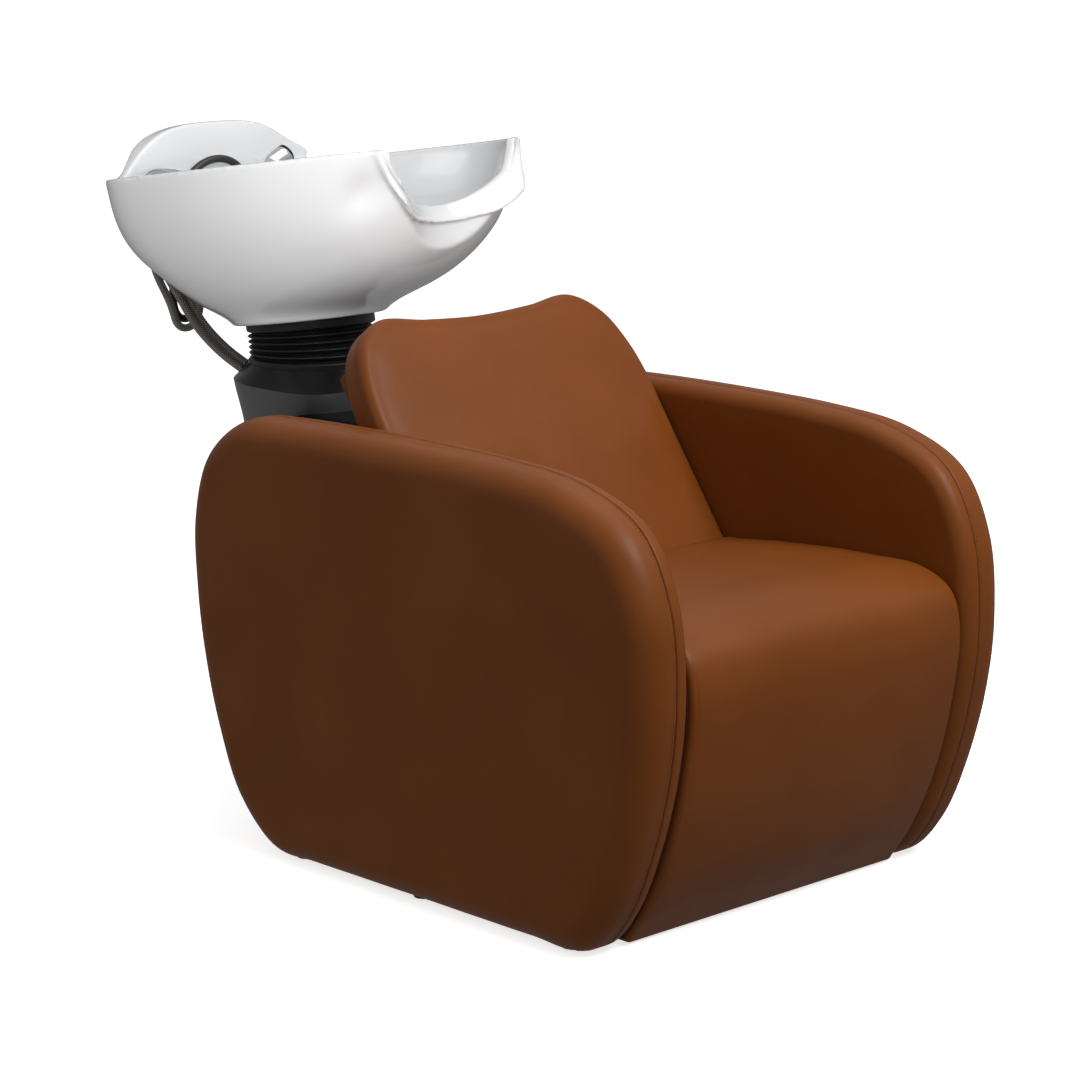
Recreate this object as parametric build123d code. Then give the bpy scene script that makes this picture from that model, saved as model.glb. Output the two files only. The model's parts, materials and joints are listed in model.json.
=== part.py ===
from build123d import *
import math
import os

os.makedirs("parts", exist_ok=True)

# Shampoo backwash unit: an upholstered chair with two drum-shaped arms, and behind it a pedestal
# that carries a tilting ceramic basin with mixer, hand shower and hoses.
# Millimetres, +Z up. The floor is z = 0, the chair faces -Y, and x = 0 is the middle plane.
# The origin is the middle of the four floor anchors, under the chair.

# ---- chair: driving dimensions ----
SEAT_WIDTH = 500.0
SEAT_HEIGHT = 412.0
SIDE_GAP = 2.5            # between the seat or back cushion and an arm
ARM_THICK = 85.0
ARM_DEPTH = 865.0
ARM_HEIGHT = 589.0
ARM_CENTRE_Y = -16.5
ARM_EDGE_RADIUS = 40.0
EDGE_STEPS = 4
ARM_BOARD = 30.0          # thickness of the board inside each arm
ARM_SEAM = 27.5           # from the arm's inner face to the sewn seam and the board's inner face
ARM_INSET = 40.0          # from the arm's outline to the board's edge
GLIDE_HEIGHT = 4.0
GLIDE_RADIUS = 14.0

# ---- seat and back ----
SEAT_FOAM = 92.0
BOARD = 15.0              # seat, front and back plywood
SEAT_BOARD_REAR_Y = 60.0
BACK_LEAN = 35.4          # degrees from vertical
BACK_FOAM = 48.0
BACK_BOARD_INSET = 22.0
BACK_AT_SEAT_Y = -18.0    # front face of the back at the seat's height
BACK_LENGTH = 370.0       # along the slope from the seat's height to the two humps
BACK_HUMP_X = 174.0
BACK_DIP = 12.0
BACK_SHOULDER = 236.0     # where the side edges start to round in

# ---- steel frame ----
TUBE = 40.0
TUBE_WALL = 2.0
RAIL_X = 170.0
RAIL_FRONT_Y = -270.0
RAIL_REAR_Y = 300.0
ANCHOR_PLATE = 5.0
ANCHOR_PLATE_RUN = 60.0
ANCHOR_X = 260.0          # hole to hole
ANCHOR_Y = 440.0
ANCHOR_HOLE_R = 5.5
POST = 30.0
POST_FRONT_Y = -230.0
POST_REAR_Y = 40.0
LINK_X = 57.0
BOLT_R = 4.0
BOLT_HEAD_R = 6.5
BOLT_HEAD = 5.0
ARM_BOLT_START = RAIL_X + POST / 2
ARM_BOLT_END = SEAT_WIDTH / 2 + SIDE_GAP + ARM_SEAM + 20
ARM_BOLT_Z = SEAT_HEIGHT - SEAT_FOAM - BOARD - POST / 2
FIT = 0.3                 # clearance between pieces that only lie near each other

# ---- column and tilt hinge ----
COLUMN_Y = 540.0
PIVOT_Z = 600.0
REST_TILT = 8.5           # degrees that the basin's front stands up at rest
UPRIGHT_X = 30.0
UPRIGHT_Y = 50.0
UPRIGHT_IN = 42.0         # from the middle plane to an upright's inner face
UPRIGHT_ABOVE = 20.0      # upright above the pivot
FOOT_PLATE = 8.0
COLUMN_ANCHOR_X = 60.0    # hole to hole
COLUMN_ANCHOR_Y = 488.0
SERVICE_HALF = 66.0       # half the width of the opening for the pipes in the foot plate
SERVICE_FRONT_Y = 572.0
PIN_R = 8.0
PIN_RUNNING = 0.05
BUSH_WALL = 3.0
LUG = 6.0
LUG_R = 16.0
WASHER = 2.0
PIN_HEAD = 5.0
PIN_HEAD_R = 11.0
PIN_END = 4.0
WASHER_R = 15.0
PLATE = 6.0               # cross plates of the column
PLATE_HEIGHT = 40.0
PLATE_ZS = (60.0, 200.0, 460.0)
STRUT = 8.0               # flat bars behind the back
STRUT_WIDTH = 40.0
STRUT_X = 120.0
STRUT_TOP = 310.0
STRUT_FOOT = 50.0
CRADLE_BOLT_U = 66.0
CRADLE_BOLT_IN = 12.0

# ---- basin, in its own level frame above the pivot: u across, v to the rear, w up ----
RING_W = 56.0             # underside of the foot ring
RING_R = 108.0
RIM_W = 279.0
HUMP_HEIGHT = 70.0
HUMP_HALF = 165.0
HUMP_FRONT_V = 90.0
WALL = 15.0
SKIRT = 13.0
BOWL_FLOOR_W = 84.0
DECK_W = 205.0
DECK_THICK = 16.0
NOTCH_HALF = 112.0
NOTCH_DEPTH = 80.0
NOTCH_REAR_V = -200.0
SCOOP_R = 134.0           # the front between the two horns is hollowed to this radius
SCOOP_V = -434.0
HOLLOW_FRONT_V = 104.0
CUT_SLOPE = 61.0          # degrees, lower edge of the skirt towards the rear
CUT_FOOT_V = 99.5
CUT_FOOT_W = 100.0
CUT_TOP_W = 155.0         # lower edge of the rear wall

# ---- waste ----
DRAIN_R = 23.0
DRAIN_FLANGE_R = 40.0
DRAIN_FLANGE = 4.0
TAIL_R = 22.5
TAIL_BORE_R = 19.0
TAIL_DROP = 76.0
NUT_R = 33.0
NUT_HEIGHT = 9.0
GASKET = 2.0
CRADLE = 6.0
CRADLE_R = 77.0
CRADLE_HOLE_R = 27.0
STRAINER_R = 33.0
STRAINER_HOLES = 16
TRAP_R = 34.0
TRAP_WALL = 3.0
TRAP_LOW_Z = 250.0
TRAP_HIGH_Z = 380.0
OUTLET_R = 20.0
OUTLET_BORE_R = 18.0
OUTLET_HIGH_Z = 345.0
OUTLET_LOW_Z = 90.0
OUTLET_Y = 606.0
OUTLET_BEND = 30.0
SPIGOT = 50.0             # the plain end that goes into the waste socket, below its collar
SPIGOT_COLLAR_R = 23.0
SPIGOT_COLLAR = 6.0

# ---- pedestal cover ----
SHELL_WALL = 4.0
SHELL_CENTRE_Y = 550.0
SHELL_R = 92.0
SHELL_JOIN_Z = 470.0      # lower shell to flared collar
SHELL_TOP_Z = 568.0
CAP_TOP_Z = 596.0
SHELL_FOOT_Z = 4.0
BELLOWS_R = 92.0
BELLOWS_VALLEY = 83.0
BELLOWS_WALL = 2.0
BELLOWS_FOLDS = 5
HOUSING_HALF = 94.0
HOUSING_FRONT_Y = 318.0
HOUSING_TOP_Z = 538.0
HOUSING_WALL = 4.0
BACK_PANEL_Y = 300.0
BACK_PANEL_THICK = 16.0
BACK_PANEL_TOP = 500.0
PANEL_LOW_Z = 130.0
PANEL_HIGH_Z = 400.0
PANEL_HALF = 46.0         # half the width of the window behind the service panel
PANEL_LAP = 12.0
PANEL_THICK = 3.0
SCREW_R = 2.0
BRACKET_ZS = (100.0, 420.0)
GROMMET_R = 16.0
GROMMET_BORE_R = 13.0
GROMMET_LENGTH = 8.0

# ---- fittings on the deck (basin frame) ----
FITTING_V = 126.0
MIXER_U = -160.0
MIXER_R = 21.0
MIXER_HEIGHT = 60.0
MIXER_CAP = 14.0
SHANK_R = 17.0
SHANK_DROP = 18.0
OUTLET_U = -98.0
NIPPLE_R = 8.0
BUSH_U = 16.0
BUSH_R = 11.0
HOLDER_U = 47.0
HOLDER_R = 12.0
HOSE_R = 5.5
LEVER_PIN_R = 2.5
LEVER_REACH = 82.0
LEVER_WIDTH = 24.0
HOLDER_RISE = 38.0
HOLDER_TOP_R = 15.0
HAND_LEAN = 66.0          # the hand shower's head, from upright
HAND_TAIL_R = 9.0
HAND_TAIL = 44.0
HAND_R = 19.0
HAND_HEAD = 46.0
FLANGE = 5.0
VALVE_Z = 190.0
VALVE_X = 47.0
VALVE_Y = 588.0
VALVE_R = 13.0
VALVE_HALF = 26.0
VALVE_BOSS_R = 6.0
VALVE_HANDLE = 5.0
VALVE_HANDLE_REACH = 18.0
STEM_R = 3.0
STEM_OUT = 5.0
INLET_R = 10.4
INLET_LENGTH = 14.0
# where the supply hoses leave the mixer's shank, from its middle (u, v), and the first straight run of each
HOT_TAIL = (9.0, -7.5, 11.0)
COLD_TAIL = (-3.5, -3.5, 17.0)
LOOP_TAIL = (0.0, 10.5)
TAIL_STRAIGHT = 14.0
SUPPLY_OFFSET = (5.2, 0, 3.2)

made = {}


def keep(name, piece):
    """Write one named piece, and remember it."""
    made[name] = piece
    export_step(piece, f"parts/{name}.step")


def slab(x, y, z, sx, sy, sz):
    """A box by its centre in x and y and its lower face in z."""
    return Pos(x, y, z + sz / 2) * Box(sx, sy, sz)


def rod(x, y, z, radius, height):
    """An upright cylinder from z to z + height."""
    return Pos(x, y, z + height / 2) * Cylinder(radius, height)


def cross_rod(x0, x1, y, z, radius):
    """A cylinder along X."""
    return Pos((x0 + x1) / 2, y, z) * Rot(0, 90, 0) * Cylinder(radius, abs(x1 - x0))


def tube_y(x, z, y0, y1, size, wall):
    """A square tube along Y, standing on z."""
    outer = slab(x, (y0 + y1) / 2, z, size, y1 - y0, size)
    return outer - slab(x, (y0 + y1) / 2, z + wall, size - 2 * wall, y1 - y0 + 2, size - 2 * wall)


def tube_x(y, z, x0, x1, size, wall):
    """A square tube along X, standing on z."""
    outer = slab((x0 + x1) / 2, y, z, x1 - x0, size, size)
    return outer - slab((x0 + x1) / 2, y, z + wall, x1 - x0 + 2, size - 2 * wall, size - 2 * wall)


def tube_z(x, y, z0, z1, sx, sy, wall):
    """A rectangular tube along Z."""
    return slab(x, y, z0, sx, sy, z1 - z0) - slab(x, y, z0 - 1, sx - 2 * wall, sy - 2 * wall, z1 - z0 + 2)


def group(pieces):
    """Separate solids that share one node."""
    return Compound(children=[s for p in pieces for s in p.solids()])


def side_profile(points, width, x=0.0):
    """Extrude a closed face drawn in the YZ plane, centred on x."""
    face = make_face(points)
    return Pos(x, 0, 0) * extrude(Plane.YZ * face, width / 2, both=True)


def tilted(piece):
    """From the basin's level frame to its place at rest."""
    return Pos(0, COLUMN_Y, PIVOT_Z) * Rot(-REST_TILT, 0, 0) * piece


def tilted_point(u, v, w):
    """A point of the basin's level frame, at rest."""
    a = math.radians(REST_TILT)
    y = v * math.cos(a) + w * math.sin(a)
    z = -v * math.sin(a) + w * math.cos(a)
    return (u, COLUMN_Y + y, PIVOT_Z + z)


def oval(half, rear, front, centre, power_rear, power_front, count=32):
    """Points of a closed oval: half its width, and its reach to the rear and the front."""
    points = []
    for i in range(count):
        t = 2 * math.pi * (i + 0.5) / count
        c = math.cos(t)
        s = math.sin(t)
        power = power_rear if c > 0 else power_front
        reach = rear if c > 0 else front
        u = half * math.copysign(abs(s) ** (2 / power), s)
        v = centre + reach * math.copysign(abs(c) ** (2 / power), c)
        points.append((u, v))
    return points


def oval_face(level, z, shrink=0.0):
    """A flat oval face at one height."""
    half, rear, front, centre, power_rear, power_front = level
    outline = oval(half - shrink, rear - shrink, front - shrink, centre, power_rear, power_front)
    return Plane.XY.offset(z) * make_face(Spline(*outline, periodic=True))


def oval_loft(levels, shrink=0.0):
    """A smooth body through ovals, each given with its height."""
    return loft([oval_face(level[1:], level[0], shrink) for level in levels])


def half_space(z):
    """Everything above a height."""
    return slab(0, 0, z, 2000, 2000, 2000)


# ---------------------------------------------------------------- arms
def arm_outline(inset=0.0):
    """The drum-shaped side of an arm: nearly flat on top, drawn in towards the floor."""
    front = ARM_CENTRE_Y - ARM_DEPTH / 2 + inset
    rear = ARM_CENTRE_Y + ARM_DEPTH / 2 - inset
    top = ARM_HEIGHT - inset
    low = GLIDE_HEIGHT + inset
    return Spline(
        (front + 125, low), (front + 78, low + 48), (front + 38, low + 136), (front + 10, low + 238),
        (front, low + 336), (front + 12, top - 140), (front + 58, top - 56), (front + 150, top - 14),
        (front + 280, top), (rear - 180, top - 2), (rear - 96, top - 12), (rear - 30, top - 62),
        (rear, top - 150), (rear - 2, low + 336), (rear - 16, low + 244), (rear - 44, low + 148),
        (rear - 88, low + 58), (rear - 160, low), (rear - 240, low - 3), (rear - 340, low - 3),
        (front + 430, low - 3), (front + 320, low - 3), (front + 210, low - 3), periodic=True)


def arm_pad(side, depth, start=()):
    """A pad from the seam outwards, its edge rounded all round."""
    radius = min(depth, ARM_EDGE_RADIUS)
    levels = list(start)
    for i in range(EDGE_STEPS + 1):
        turn = math.pi / 2 * i / EDGE_STEPS
        levels.append((depth - radius * (1 - math.sin(turn)), radius * (1 - math.cos(turn))))
    seam_x = SEAT_WIDTH / 2 + SIDE_GAP + ARM_SEAM
    faces = []
    for along, inset in levels:
        faces.append(Plane.YZ.offset(seam_x + side * along) * make_face(arm_outline(inset)))
    return loft(faces) & half_space(GLIDE_HEIGHT)


def make_arm(side, word):
    """One arm: a board between an outer and an inner pad that meet at the seam."""
    board_x = SEAT_WIDTH / 2 + SIDE_GAP + ARM_SEAM + ARM_BOARD / 2
    board = side_profile([arm_outline(ARM_INSET)], ARM_BOARD, board_x)
    outer_pad = arm_pad(1, ARM_THICK - ARM_SEAM, [(0, 0)]) - board
    inner_pad = arm_pad(-1, ARM_SEAM)
    for y in (POST_FRONT_Y, POST_REAR_Y):
        inner_pad -= cross_rod(ARM_BOLT_START, ARM_BOLT_END, y, ARM_BOLT_Z, BOLT_R)
        board -= cross_rod(ARM_BOLT_START, ARM_BOLT_END, y, ARM_BOLT_Z, BOLT_R)
    for name, piece in (("outer_pad", outer_pad), ("inner_pad", inner_pad), ("board", board)):
        keep(f"{word}_arm_{name}", piece if side > 0 else mirror(piece, about=Plane.YZ))


for arm_side, arm_word in ((-1, "left"), (1, "right")):
    make_arm(arm_side, arm_word)

arm_front = ARM_CENTRE_Y - ARM_DEPTH / 2
arm_rear = ARM_CENTRE_Y + ARM_DEPTH / 2
glide_x = SEAT_WIDTH / 2 + SIDE_GAP + ARM_SEAM + ARM_BOARD / 2
glide_ys = (arm_front + 160, ARM_CENTRE_Y, arm_rear - 200)
keep("glides", group([rod(s * glide_x, y, 0, GLIDE_RADIUS, GLIDE_HEIGHT) for s in (-1, 1) for y in glide_ys]))

# ---------------------------------------------------------------- back
back_plane = Plane(origin=(0, BACK_AT_SEAT_Y, SEAT_HEIGHT), x_dir=(1, 0, 0),
                   z_dir=(0, -math.cos(math.radians(BACK_LEAN)), math.sin(math.radians(BACK_LEAN))))
under_seat = SEAT_HEIGHT - SEAT_FOAM
board_low = under_seat - BOARD
BACK_FOOT = -160.0        # how far the back is drawn below the seat's height, before it is cut off


def back_outline(inset=0.0):
    """The back seen square on: rounded shoulders, two humps and a shallow dip between them."""
    half = SEAT_WIDTH / 2 - inset
    top = BACK_LENGTH - inset
    right = [(half, BACK_SHOULDER), (half - 8, BACK_SHOULDER + 52), (half - 30, top - 32),
             (BACK_HUMP_X, top), (BACK_HUMP_X - 80, top - BACK_DIP * 0.6), (0, top - BACK_DIP)]
    left = [(-x, s) for x, s in reversed(right[:-1])]
    curve = Spline(*right, *left, tangents=[(0, 1), (0, -1)])
    foot = Polyline((-half, BACK_SHOULDER), (-half, BACK_FOOT), (half, BACK_FOOT), (half, BACK_SHOULDER))
    return make_face([curve, foot])


def back_layer(inset, near, thick):
    """A layer of the back, counted rearwards from its front face and standing on the seat board."""
    face = back_plane.offset(-near) * back_outline(inset)
    return extrude(face, -thick) & half_space(under_seat + FIT)


keep("back_cushion", back_layer(0, 0, BACK_FOAM))
keep("back_board", back_layer(BACK_BOARD_INSET, BACK_FOAM, BOARD))

# ---------------------------------------------------------------- seat
seat_front = arm_front + 3
pad_foot_front = seat_front + 110
pad_foot_rear = pad_foot_front + 48
pad_knee = seat_front + 74
seat_outline = [
    Spline((pad_foot_front, GLIDE_HEIGHT), (seat_front + 72, 60), (seat_front + 36, 140),
           (seat_front + 10, 240), (seat_front, SEAT_HEIGHT - 72), (seat_front + 16, SEAT_HEIGHT - 26),
           (seat_front + 66, SEAT_HEIGHT - 2), (seat_front + 150, SEAT_HEIGHT),
           (SEAT_BOARD_REAR_Y, SEAT_HEIGHT - 16), tangents=[(-0.7, 1), (1, -0.05)]),
    Polyline((SEAT_BOARD_REAR_Y, SEAT_HEIGHT - 16), (SEAT_BOARD_REAR_Y, under_seat), (pad_knee, under_seat),
             (pad_foot_rear, GLIDE_HEIGHT), (pad_foot_front, GLIDE_HEIGHT)),
]
behind_back = extrude(back_plane.offset(FIT) * Rectangle(2000, 2000), -2000)
keep("seat_cushion", side_profile(seat_outline, SEAT_WIDTH) - behind_back)

front_lean = (pad_foot_rear - pad_knee) / (under_seat - GLIDE_HEIGHT)


def knee_y(z):
    """The slanted back of the front foam, at a height."""
    return pad_knee + (under_seat - z) * front_lean


seat_board_front = knee_y(board_low)
seat_board_y = (seat_board_front + SEAT_BOARD_REAR_Y) / 2
seat_board_run = SEAT_BOARD_REAR_Y - seat_board_front
keep("seat_board", slab(0, seat_board_y, board_low, SEAT_WIDTH - 20, seat_board_run, BOARD))
front_board_low = GLIDE_HEIGHT + 20
front_board = Polyline((knee_y(board_low), board_low), (knee_y(front_board_low), front_board_low),
                       (knee_y(front_board_low) + BOARD, front_board_low),
                       (knee_y(board_low) + BOARD, board_low), close=True)
keep("front_board", side_profile(front_board, SEAT_WIDTH - 20))

# ---------------------------------------------------------------- steel frame
rail_z = ANCHOR_PLATE
rail_top = rail_z + TUBE
base_frame = [tube_y(s * RAIL_X, rail_z, RAIL_FRONT_Y, RAIL_REAR_Y, TUBE, TUBE_WALL) for s in (-1, 1)]
rail_in = RAIL_X - TUBE / 2
cross_ys = (RAIL_FRONT_Y + TUBE / 2, RAIL_REAR_Y - TUBE / 2)
base_frame += [tube_x(y, rail_z, -rail_in, rail_in, TUBE, TUBE_WALL) for y in cross_ys]
keep("base_frame", group(base_frame))
anchor_out = RAIL_X + TUBE / 2
anchor_in = ANCHOR_X / 2 - 22
anchor_plates = []
for s in (-1, 1):
    for t in (-1, 1):
        plate_x = s * (anchor_in + anchor_out) / 2
        plate = slab(plate_x, t * ANCHOR_Y / 2, 0, anchor_out - anchor_in, ANCHOR_PLATE_RUN, ANCHOR_PLATE)
        hole = rod(s * ANCHOR_X / 2, t * ANCHOR_Y / 2, -1, ANCHOR_HOLE_R, ANCHOR_PLATE + 2)
        anchor_plates.append(plate - hole)
keep("anchor_plates", group(anchor_plates))

frame_top = board_low
posts = [tube_z(s * RAIL_X, y, rail_top, frame_top - POST, POST, POST, TUBE_WALL)
         for s in (-1, 1) for y in (POST_FRONT_Y, POST_REAR_Y)]
seat_rail_front = POST_FRONT_Y - POST / 2
seat_rail_rear = POST_REAR_Y + POST / 2
seat_rails = [tube_y(s * RAIL_X, frame_top - POST, seat_rail_front, seat_rail_rear, POST, TUBE_WALL)
              for s in (-1, 1)]
seat_rails += [tube_x(y, frame_top - POST, -RAIL_X + POST / 2, RAIL_X - POST / 2, POST, TUBE_WALL)
               for y in (POST_FRONT_Y, POST_REAR_Y)]
keep("seat_frame", group(posts + seat_rails))
arm_bolts = []
for s in (-1, 1):
    for y in (POST_FRONT_Y, POST_REAR_Y):
        bolt = cross_rod(s * ARM_BOLT_START, s * ARM_BOLT_END, y, ARM_BOLT_Z, BOLT_R)
        head_end = s * (ARM_BOLT_START + BOLT_HEAD)
        arm_bolts.append(bolt + cross_rod(s * ARM_BOLT_START, head_end, y, ARM_BOLT_Z, BOLT_HEAD_R))
keep("arm_bolts", group(arm_bolts))

# back struts: flat bars behind the back board, each with a foot on the seat board
strut_plane = back_plane.offset(-(BACK_FOAM + BOARD))
strut_bars = []
for s in (-1, 1):
    run = Pos(s * STRUT_X, (STRUT_TOP + BACK_FOOT) / 2) * Rectangle(STRUT_WIDTH, STRUT_TOP - BACK_FOOT)
    bar = extrude(strut_plane * run, -STRUT) & half_space(under_seat)
    foot = slab(s * STRUT_X, SEAT_BOARD_REAR_Y - STRUT_FOOT / 2, under_seat, STRUT_WIDTH, STRUT_FOOT, STRUT)
    front_of_strut = extrude(strut_plane * Rectangle(2000, 2000), 2000)
    strut_bars.append(bar + (foot - front_of_strut))
keep("back_struts", group(strut_bars))

keep("back_panel", slab(0, BACK_PANEL_Y + BACK_PANEL_THICK / 2, rail_top, SEAT_WIDTH, BACK_PANEL_THICK,
                        BACK_PANEL_TOP - rail_top))

# ---------------------------------------------------------------- column
uprights = UPRIGHT_IN + UPRIGHT_X / 2
foot_plate = rod(0, SHELL_CENTRE_Y, 0, SHELL_R - SHELL_WALL - FIT, FOOT_PLATE)
for s in (-1, 1):
    foot_plate -= rod(s * COLUMN_ANCHOR_X / 2, COLUMN_ANCHOR_Y, -1, ANCHOR_HOLE_R, FOOT_PLATE + 2)
foot_plate -= slab(0, SERVICE_FRONT_Y + 100, -1, 2 * SERVICE_HALF, 200, FOOT_PLATE + 2)
keep("column_foot", foot_plate)
link_end = COLUMN_Y - UPRIGHT_Y / 2
link_beams = [tube_y(s * LINK_X, FOOT_PLATE, RAIL_REAR_Y, link_end, POST, TUBE_WALL) for s in (-1, 1)]
keep("link_beams", group(link_beams))
upright_top = PIVOT_Z + UPRIGHT_ABOVE
bush_out = PIN_R + PIN_RUNNING + BUSH_WALL
upright_pieces = []
for s in (-1, 1):
    upright = tube_z(s * uprights, COLUMN_Y, FOOT_PLATE, upright_top, UPRIGHT_X, UPRIGHT_Y, 3)
    upright_pieces.append(upright - cross_rod(-100, 100, COLUMN_Y, PIVOT_Z, bush_out))
for z in PLATE_ZS:
    upright_pieces.append(slab(0, link_end - PLATE / 2, z, 2 * uprights + UPRIGHT_X, PLATE, PLATE_HEIGHT))
keep("column_frame", group(upright_pieces))

# tilt hinge: a bush in each upright, a stepped pin through bush, washer and cradle lug
bushes = []
pins = []
washers = []
upright_out = UPRIGHT_IN + UPRIGHT_X
lug_out = UPRIGHT_IN - WASHER
lug_in = lug_out - LUG
for s in (-1, 1):
    bush = cross_rod(s * UPRIGHT_IN, s * upright_out, COLUMN_Y, PIVOT_Z, bush_out)
    bushes.append(bush - cross_rod(-200, 200, COLUMN_Y, PIVOT_Z, PIN_R + PIN_RUNNING))
    washer = cross_rod(s * lug_out, s * UPRIGHT_IN, COLUMN_Y, PIVOT_Z, WASHER_R)
    washers.append(washer - cross_rod(-200, 200, COLUMN_Y, PIVOT_Z, PIN_R + PIN_RUNNING))
    pin = cross_rod(s * (lug_in - PIN_HEAD), s * (upright_out + PIN_END), COLUMN_Y, PIVOT_Z, PIN_R)
    head = cross_rod(s * (lug_in - PIN_HEAD), s * lug_in, COLUMN_Y, PIVOT_Z, PIN_HEAD_R)
    pins.append(pin + head)
keep("tilt_bushes", group(bushes))
keep("friction_washers", group(washers))
keep("tilt_pins", group(pins))

# ---------------------------------------------------------------- basin
cradle_top = RING_W - GASKET
cradle_low = cradle_top - CRADLE
cradle = rod(0, 0, cradle_low, CRADLE_R, CRADLE) - rod(0, 0, cradle_low - 1, CRADLE_HOLE_R, CRADLE + 2)
for s in (-1, 1):
    lug_x = s * (lug_in + lug_out) / 2
    lug = slab(lug_x, 0, 0, LUG, 2 * LUG_R, cradle_low)
    lug += cross_rod(lug_x - LUG / 2, lug_x + LUG / 2, 0, 0, LUG_R)
    cradle += lug
for s in (-1, 1):
    cradle -= cross_rod(s * (lug_in - 1), s * (lug_out + 1), 0, 0, PIN_R)
    cradle -= rod(s * CRADLE_BOLT_U, 0, cradle_low - 1, BOLT_R + FIT, CRADLE + 2)
keep("basin_cradle", tilted(cradle))
gasket = rod(0, 0, cradle_top, CRADLE_R, GASKET) - rod(0, 0, cradle_top - 1, CRADLE_HOLE_R, GASKET + 2)
for s in (-1, 1):
    gasket -= rod(s * CRADLE_BOLT_U, 0, cradle_top - 1, BOLT_R + FIT, GASKET + 2)
keep("basin_gasket", tilted(gasket))

# height, half width, rear reach, front reach, centre, power to the rear, power to the front
OUTER = [
    (RING_W, RING_R, RING_R, RING_R, 0, 2, 2),
    (66, 118, 113, 124, 0, 2, 2),
    (82, 138, 130, 172, 0, 2.2, 2.1),
    (120, 180, 164, 262, -8, 2.8, 2.1),
    (170, 216, 202, 312, -18, 3.6, 2.1),
    (DECK_W, 233, 216, 327, -26, 4.0, 2.07),
    (RIM_W, 250, 226, 338, -40, 4.4, 2.0),
    (RIM_W + HUMP_HEIGHT + 10, 246, 222, 338, -40, 4.4, 2.0),
]
BOWL = [
    (BOWL_FLOOR_W, 64, 64, 64, 0, 2, 2),
    (98, 128, 88, 172, -6, 2.2, 2.1),
    (130, 168, 96, 246, -10, 2.4, 2.1),
    (180, 203, 108, 298, -20, 2.8, 2.1),
    (DECK_W + 1, 215, 114, 311, -25, 3.0, 2.07),
]
DECK_LEVEL = 5
rim_above = 200.0
hull = oval_loft(OUTER)
hump_line = Spline((-HUMP_HALF - 30, 0), (-HUMP_HALF, 12), (-HUMP_HALF + 27, 34), (-HUMP_HALF + 68, 58),
                   (0, HUMP_HEIGHT), (HUMP_HALF - 68, 58), (HUMP_HALF - 27, 34), (HUMP_HALF, 12),
                   (HUMP_HALF + 30, 0), tangents=[(1, 0), (1, 0)])
hump_face = make_face([hump_line, Polyline((HUMP_HALF + 30, 0), (HUMP_HALF + 30, -5),
                                           (-HUMP_HALF - 30, -5), (-HUMP_HALF - 30, 0))])
across = Plane(origin=(0, 0, RIM_W), x_dir=(1, 0, 0), z_dir=(0, -1, 0))
hump = extrude(across.offset(-HUMP_FRONT_V) * hump_face, -400)
hull -= slab(0, 0, RIM_W, 1000, 1000, rim_above) - hump
notch_line = Spline((-NOTCH_HALF, 0), (-NOTCH_HALF + 14, -NOTCH_DEPTH * 0.5),
                    (-NOTCH_HALF * 0.6, -NOTCH_DEPTH * 0.82), (0, -NOTCH_DEPTH),
                    (NOTCH_HALF * 0.6, -NOTCH_DEPTH * 0.82),
                    (NOTCH_HALF - 14, -NOTCH_DEPTH * 0.5), (NOTCH_HALF, 0))
notch_face = make_face([notch_line, Polyline((NOTCH_HALF, 0), (NOTCH_HALF, rim_above),
                                             (-NOTCH_HALF, rim_above), (-NOTCH_HALF, 0))])
notch = extrude(across.offset(-NOTCH_REAR_V) * notch_face, 400)
bowl = oval_loft(BOWL)
upper = oval_loft(OUTER[DECK_LEVEL:], WALL)
hollow = oval_loft(OUTER[1:DECK_LEVEL + 1], SKIRT)
hollow_top = DECK_W - DECK_THICK
hollow &= Pos(0, HOLLOW_FRONT_V + 200, hollow_top - 200) * Box(1000, 400, 400)
under = Pos(0, CUT_FOOT_V, CUT_FOOT_W) * Rot(CUT_SLOPE, 0, 0) * Pos(0, 200, -200) * Box(1000, 400, 400)
under &= Pos(0, CUT_FOOT_V + 200, CUT_TOP_W - 200) * Box(1000, 400, 400)
scoop = rod(0, SCOOP_V, RING_W, SCOOP_R, 2 * rim_above)
behind_scoop = rod(0, SCOOP_V, RING_W, SCOOP_R + WALL, 2 * rim_above)
basin = hull - scoop - (bowl - behind_scoop) - (upper - behind_scoop) - notch - hollow - under
basin -= rod(0, 0, 0, DRAIN_R + FIT, 200)
basin -= rod(0, 0, BOWL_FLOOR_W - DRAIN_FLANGE, DRAIN_FLANGE_R + FIT, 50)
for u, radius in ((MIXER_U, SHANK_R), (OUTLET_U, NIPPLE_R), (BUSH_U, BUSH_R), (HOLDER_U, HOLDER_R)):
    basin -= rod(u, FITTING_V, hollow_top - 50, radius + FIT, 100)
for s in (-1, 1):
    basin -= rod(s * CRADLE_BOLT_U, 0, RING_W - 1, BOLT_R + FIT, CRADLE_BOLT_IN)
keep("basin", tilted(basin))
keep("cradle_bolts", tilted(group([
    rod(s * CRADLE_BOLT_U, 0, cradle_low, BOLT_R, cradle_top - cradle_low + CRADLE_BOLT_IN)
    + rod(s * CRADLE_BOLT_U, 0, cradle_low - BOLT_HEAD, BOLT_HEAD_R, BOLT_HEAD) for s in (-1, 1)])))

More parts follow.
